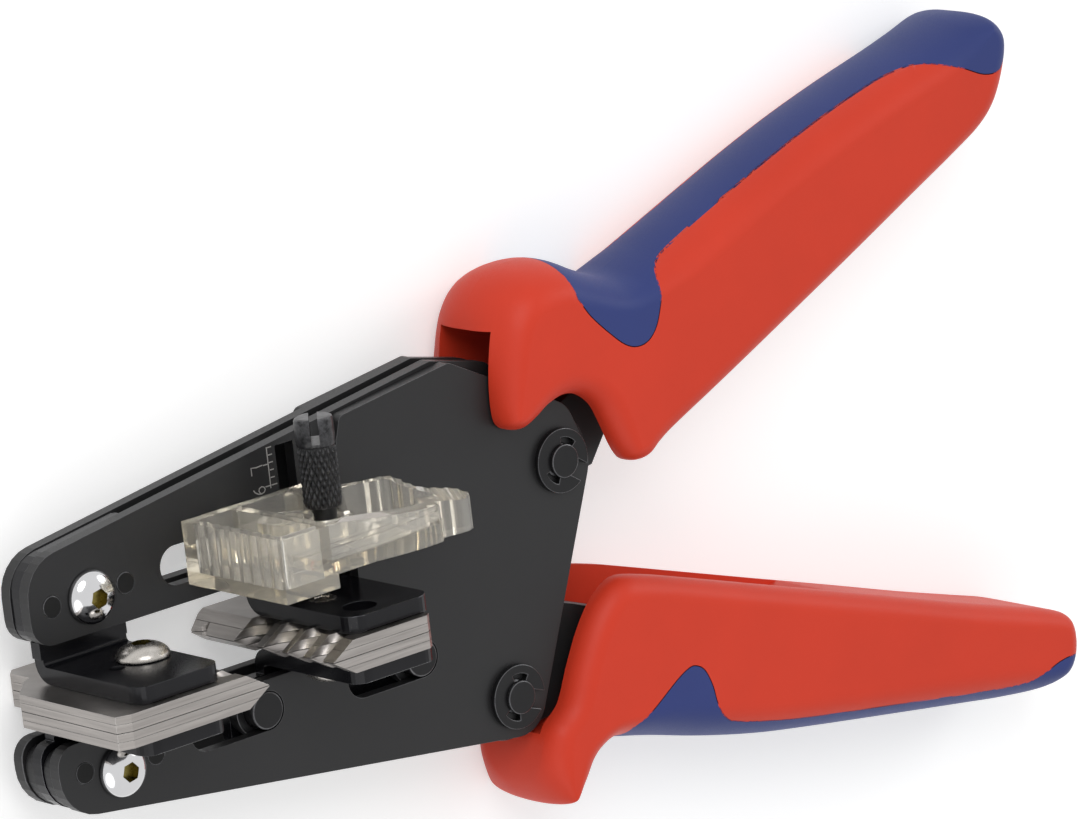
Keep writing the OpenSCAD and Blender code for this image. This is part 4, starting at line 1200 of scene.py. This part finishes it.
@dataclass
class Studio:
    """The pale floor, the soft lamps, the world and the camera."""

    camera_at: Point3 = (-578.476, 229.840, 711.591)
    right: Point3 = (0.7528131, -0.1111228, 0.6487867)
    up: Point3 = (0.2370548, 0.9652791, -0.1097331)
    back: Point3 = (-0.6140664, 0.2364065, 0.7530169)
    lens: float = 219.451
    ambient: float = 0.50
    floor_glow: float = 0.42
    floor_half_m: float = 4.0
    floor_drop_m: float = 0.0004

    def camera(self) -> None:
        """Make the camera at the photograph's angle."""
        data = bpy.data.cameras.new("camera")
        data.sensor_fit = "HORIZONTAL"
        data.sensor_width, data.lens = 36.0, self.lens
        data.clip_start, data.clip_end = 0.01, 50.0
        data.dof.use_dof = False
        camera = placed("camera", data)
        turn = Matrix((self.right, self.up, self.back)).transposed()
        camera.matrix_world = Matrix.Translation(metres(self.camera_at)) @ turn.to_4x4()
        bpy.context.scene.camera = camera

    def floor(self) -> None:
        """Make the floor, which keeps the object's shadow."""
        mesh = bpy.data.meshes.new("floor")
        w, z = self.floor_half_m, -self.floor_drop_m
        mesh.from_pydata([(-w, -w, z), (w, -w, z), (w, w, z), (-w, w, z)], [], [(0, 1, 2, 3)])
        bench = Bench("pale_floor")
        tone = bench.group(GROUPS.tone, Dark=(0.80, 0.80, 0.80, 1.0), Light=(0.83, 0.83, 0.83, 1.0), Scale=3.0)
        bench.feed(bench.shader, {
            "Base Color": tone["Colour"], "Roughness": 0.9, "Specular IOR Level": 0.1, "Emission Color": WHITE,
            "Emission Strength": bench.span(bench.seen_rays(), 0.0, self.floor_glow)})
        mesh.materials.append(bench.material)
        placed("floor", mesh)

    def world(self) -> None:
        """Make the world: white where it is seen, and a plain level elsewhere."""
        world = bpy.data.worlds.new("studio")
        world.use_nodes = True
        bpy.context.scene.world = world
        sky = Wiring(world.node_tree)
        sky.feed(sky.nodes["Background"], {"Color": WHITE, "Strength": sky.span(sky.seen_rays(), self.ambient, 1.0)})

    @staticmethod
    def lamp(name: str, at: Point3, size: float, power: float) -> None:
        """Make a soft lamp that faces the object.

        Args:
            name: Name of the lamp.
            at: Its place in metres from the middle of the object.
            size: Its diameter in metres.
            power: Its power in watts.
        """
        data = bpy.data.lights.new(name, "AREA")
        data.shape, data.size, data.energy = "DISK", size, power
        lamp = placed(name, data)
        lamp.location = at
        lamp.rotation_euler = (-Vector(at)).to_track_quat("-Z", "Y").to_euler()

    def build(self) -> None:
        """Make everything that isn't part of the object."""
        self.camera()
        self.floor()
        self.world()
        self.lamp("key", (-0.45, 0.75, 0.85), 0.80, 5.0)
        self.lamp("fill", (-0.7, -0.45, 0.6), 0.95, 2.0)
        self.lamp("rim", (0.8, 0.4, 0.5), 0.5, 1.6)
        bpy.context.scene.view_settings.view_transform = "Standard"
        LOG.info("studio ready")


# Sub-assemblies


@dataclass
class SubAssembly:
    """Pieces that move together, dressed in order."""

    title: str
    cad: tuple[CadNode, ...] = ()
    screws: tuple[ButtonScrew, ...] = ()

    def build(self) -> None:
        """Dress the CAD nodes, make the screws and then the pieces of its own."""
        LOG.info("sub-assembly: %s", self.title)
        for node in self.cad:
            node.dress()
        for screw in self.screws:
            screw.build()
        self.detail()

    def detail(self) -> None:
        """Make the pieces that only this sub-assembly has."""


@dataclass
class PlateHead(SubAssembly):
    """The riveted side plates with the lower arm, the fixed clamp jaw, the pins and the spring."""

    title: str = "plate head"
    cad: tuple[CadNode, ...] = (
        CadNode("rear_side_plate", PLATE, PLATE_EDGE_HIGHLIGHT, 0.22),
        CadNode("front_side_plate", PLATE, PLATE_EDGE_HIGHLIGHT, 0.22),
        CadNode("lower_arm_spacers", PLATE, PLATE_EDGE_HIGHLIGHT, 0.15),
        CadNode("left_clamp_bracket", BRACKET, BRACKET_EDGE_HIGHLIGHT, 0.38),
        CadNode("left_clamp_plates", JAW, JAW_EDGE_HIGHLIGHT, 0.05),
        CadNode("lower_arm_rivets", RIVET, PIN_EDGE_HIGHLIGHT, 0.10),
        CadNode("upper_handle_pin", PIN, PIN_EDGE_HIGHLIGHT, 0.30),
        CadNode("lower_handle_pin", PIN, PIN_EDGE_HIGHLIGHT, 0.30),
        CadNode("pin_clips", PIN, PIN_EDGE_HIGHLIGHT, 0.10),
        CadNode("handle_spring", SPRING, None, 0.08))
    screws: tuple[ButtonScrew, ...] = (
        ButtonScrew("lower_arm_screw", "frame", Along.Z_UP, CHROME),
        ButtonScrew("left_clamp_screw", "frame", Along.Y_DOWN, SATIN))


@dataclass
class UpperArm(SubAssembly):
    """The upper arm with its fixed blade jaw and the printed scale."""

    title: str = "upper arm"
    cad: tuple[CadNode, ...] = (
        CadNode("upper_arm_rear_plate", PLATE, PLATE_EDGE_HIGHLIGHT, 0.20),
        CadNode("upper_arm_front_plate", PLATE, PLATE_EDGE_HIGHLIGHT, 0.20),
        CadNode("left_blade_bracket", BRACKET, BRACKET_EDGE_HIGHLIGHT, 0.38),
        CadNode("left_blade_plates", JAW, JAW_EDGE_HIGHLIGHT, 0.05),
        CadNode("upper_arm_rivets", RIVET, PIN_EDGE_HIGHLIGHT, 0.10))
    screws: tuple[ButtonScrew, ...] = (
        ButtonScrew("upper_arm_screw", "upper_arm", Along.Z_UP, CHROME),
        ButtonScrew("left_blade_screw", "upper_arm", Along.Y_UP, SATIN))
    scale: ScaleMarks = field(default_factory=ScaleMarks)

    def detail(self) -> None:
        """Make the printed scale."""
        self.scale.build()


@dataclass
class BladeJaw(SubAssembly):
    """The blade jaw that slides in the upper arm."""

    title: str = "blade jaw"
    cad: tuple[CadNode, ...] = (
        CadNode("blade_slider", BRACKET, BRACKET_EDGE_HIGHLIGHT, 0.38),
        CadNode("right_blade_plates", JAW, JAW_EDGE_HIGHLIGHT, 0.05),
        CadNode("right_blade_screw", SATIN, None, 0.12),
        CadNode("blade_guide_pins", PIN, PIN_EDGE_HIGHLIGHT, 0.25))


@dataclass
class ClampJaw(SubAssembly):
    """The clamp jaw that slides in the lower arm."""

    title: str = "clamp jaw"
    cad: tuple[CadNode, ...] = (
        CadNode("clamp_slider", BRACKET, BRACKET_EDGE_HIGHLIGHT, 0.38),
        CadNode("right_clamp_plates", JAW, JAW_EDGE_HIGHLIGHT, 0.05),
        CadNode("clamp_guide_pins", PIN, PIN_EDGE_HIGHLIGHT, 0.25),
        CadNode("clamp_guide_bushes", PIN, PIN_EDGE_HIGHLIGHT, 0.10))
    screws: tuple[ButtonScrew, ...] = (ButtonScrew("right_clamp_screw", "clamp_jaw", Along.Y_DOWN, SATIN),)


@dataclass
class HandleAssembly(SubAssembly):
    """A lever with the grip that is moulded round it."""

    moulding: Handle = field(default_factory=lambda: UPPER_HANDLE)

    def detail(self) -> None:
        """Make the grip and its inlay."""
        self.moulding.build()


@dataclass
class StopAssembly(SubAssembly):
    """The clear length stop with its key and its clamping screw."""

    title: str = "length stop"
    cad: tuple[CadNode, ...] = (CadNode("stop_key", STOP, None, 0.10),)
    tray: LengthStop = field(default_factory=LengthStop)

    def detail(self) -> None:
        """Make the tray and the knurled screw on its boss."""
        self.tray.build()
        StopScrew((self.tray.knob[0], self.tray.knob_level, self.tray.knob[1])).build()


def sub_assemblies() -> list[SubAssembly]:
    """The tool's sub-assemblies.

    Returns:
        The sub-assemblies in the order in which they are built.
    """
    lever = CadNode("upper_lever", PLATE, PLATE_EDGE_HIGHLIGHT, 0.15)
    fork = (CadNode("lower_lever", PLATE, PLATE_EDGE_HIGHLIGHT, 0.15), CadNode("lower_drive_pin", SPRING, None, 0.10))
    return [PlateHead(), UpperArm(), BladeJaw(), ClampJaw(),
            HandleAssembly("upper handle", (lever,), moulding=UPPER_HANDLE),
            HandleAssembly("lower handle", fork, moulding=LOWER_HANDLE), StopAssembly()]


def write_sizes() -> None:
    """Bring the view layer up to date."""
    bpy.context.view_layer.update()


def main() -> None:
    """Build the sub-assemblies in order."""
    logging.basicConfig(level=logging.INFO, format="%(message)s")
    Studio().build()
    for part in sub_assemblies():
        part.build()
    write_sizes()


if __name__ == "__main__":
    main()
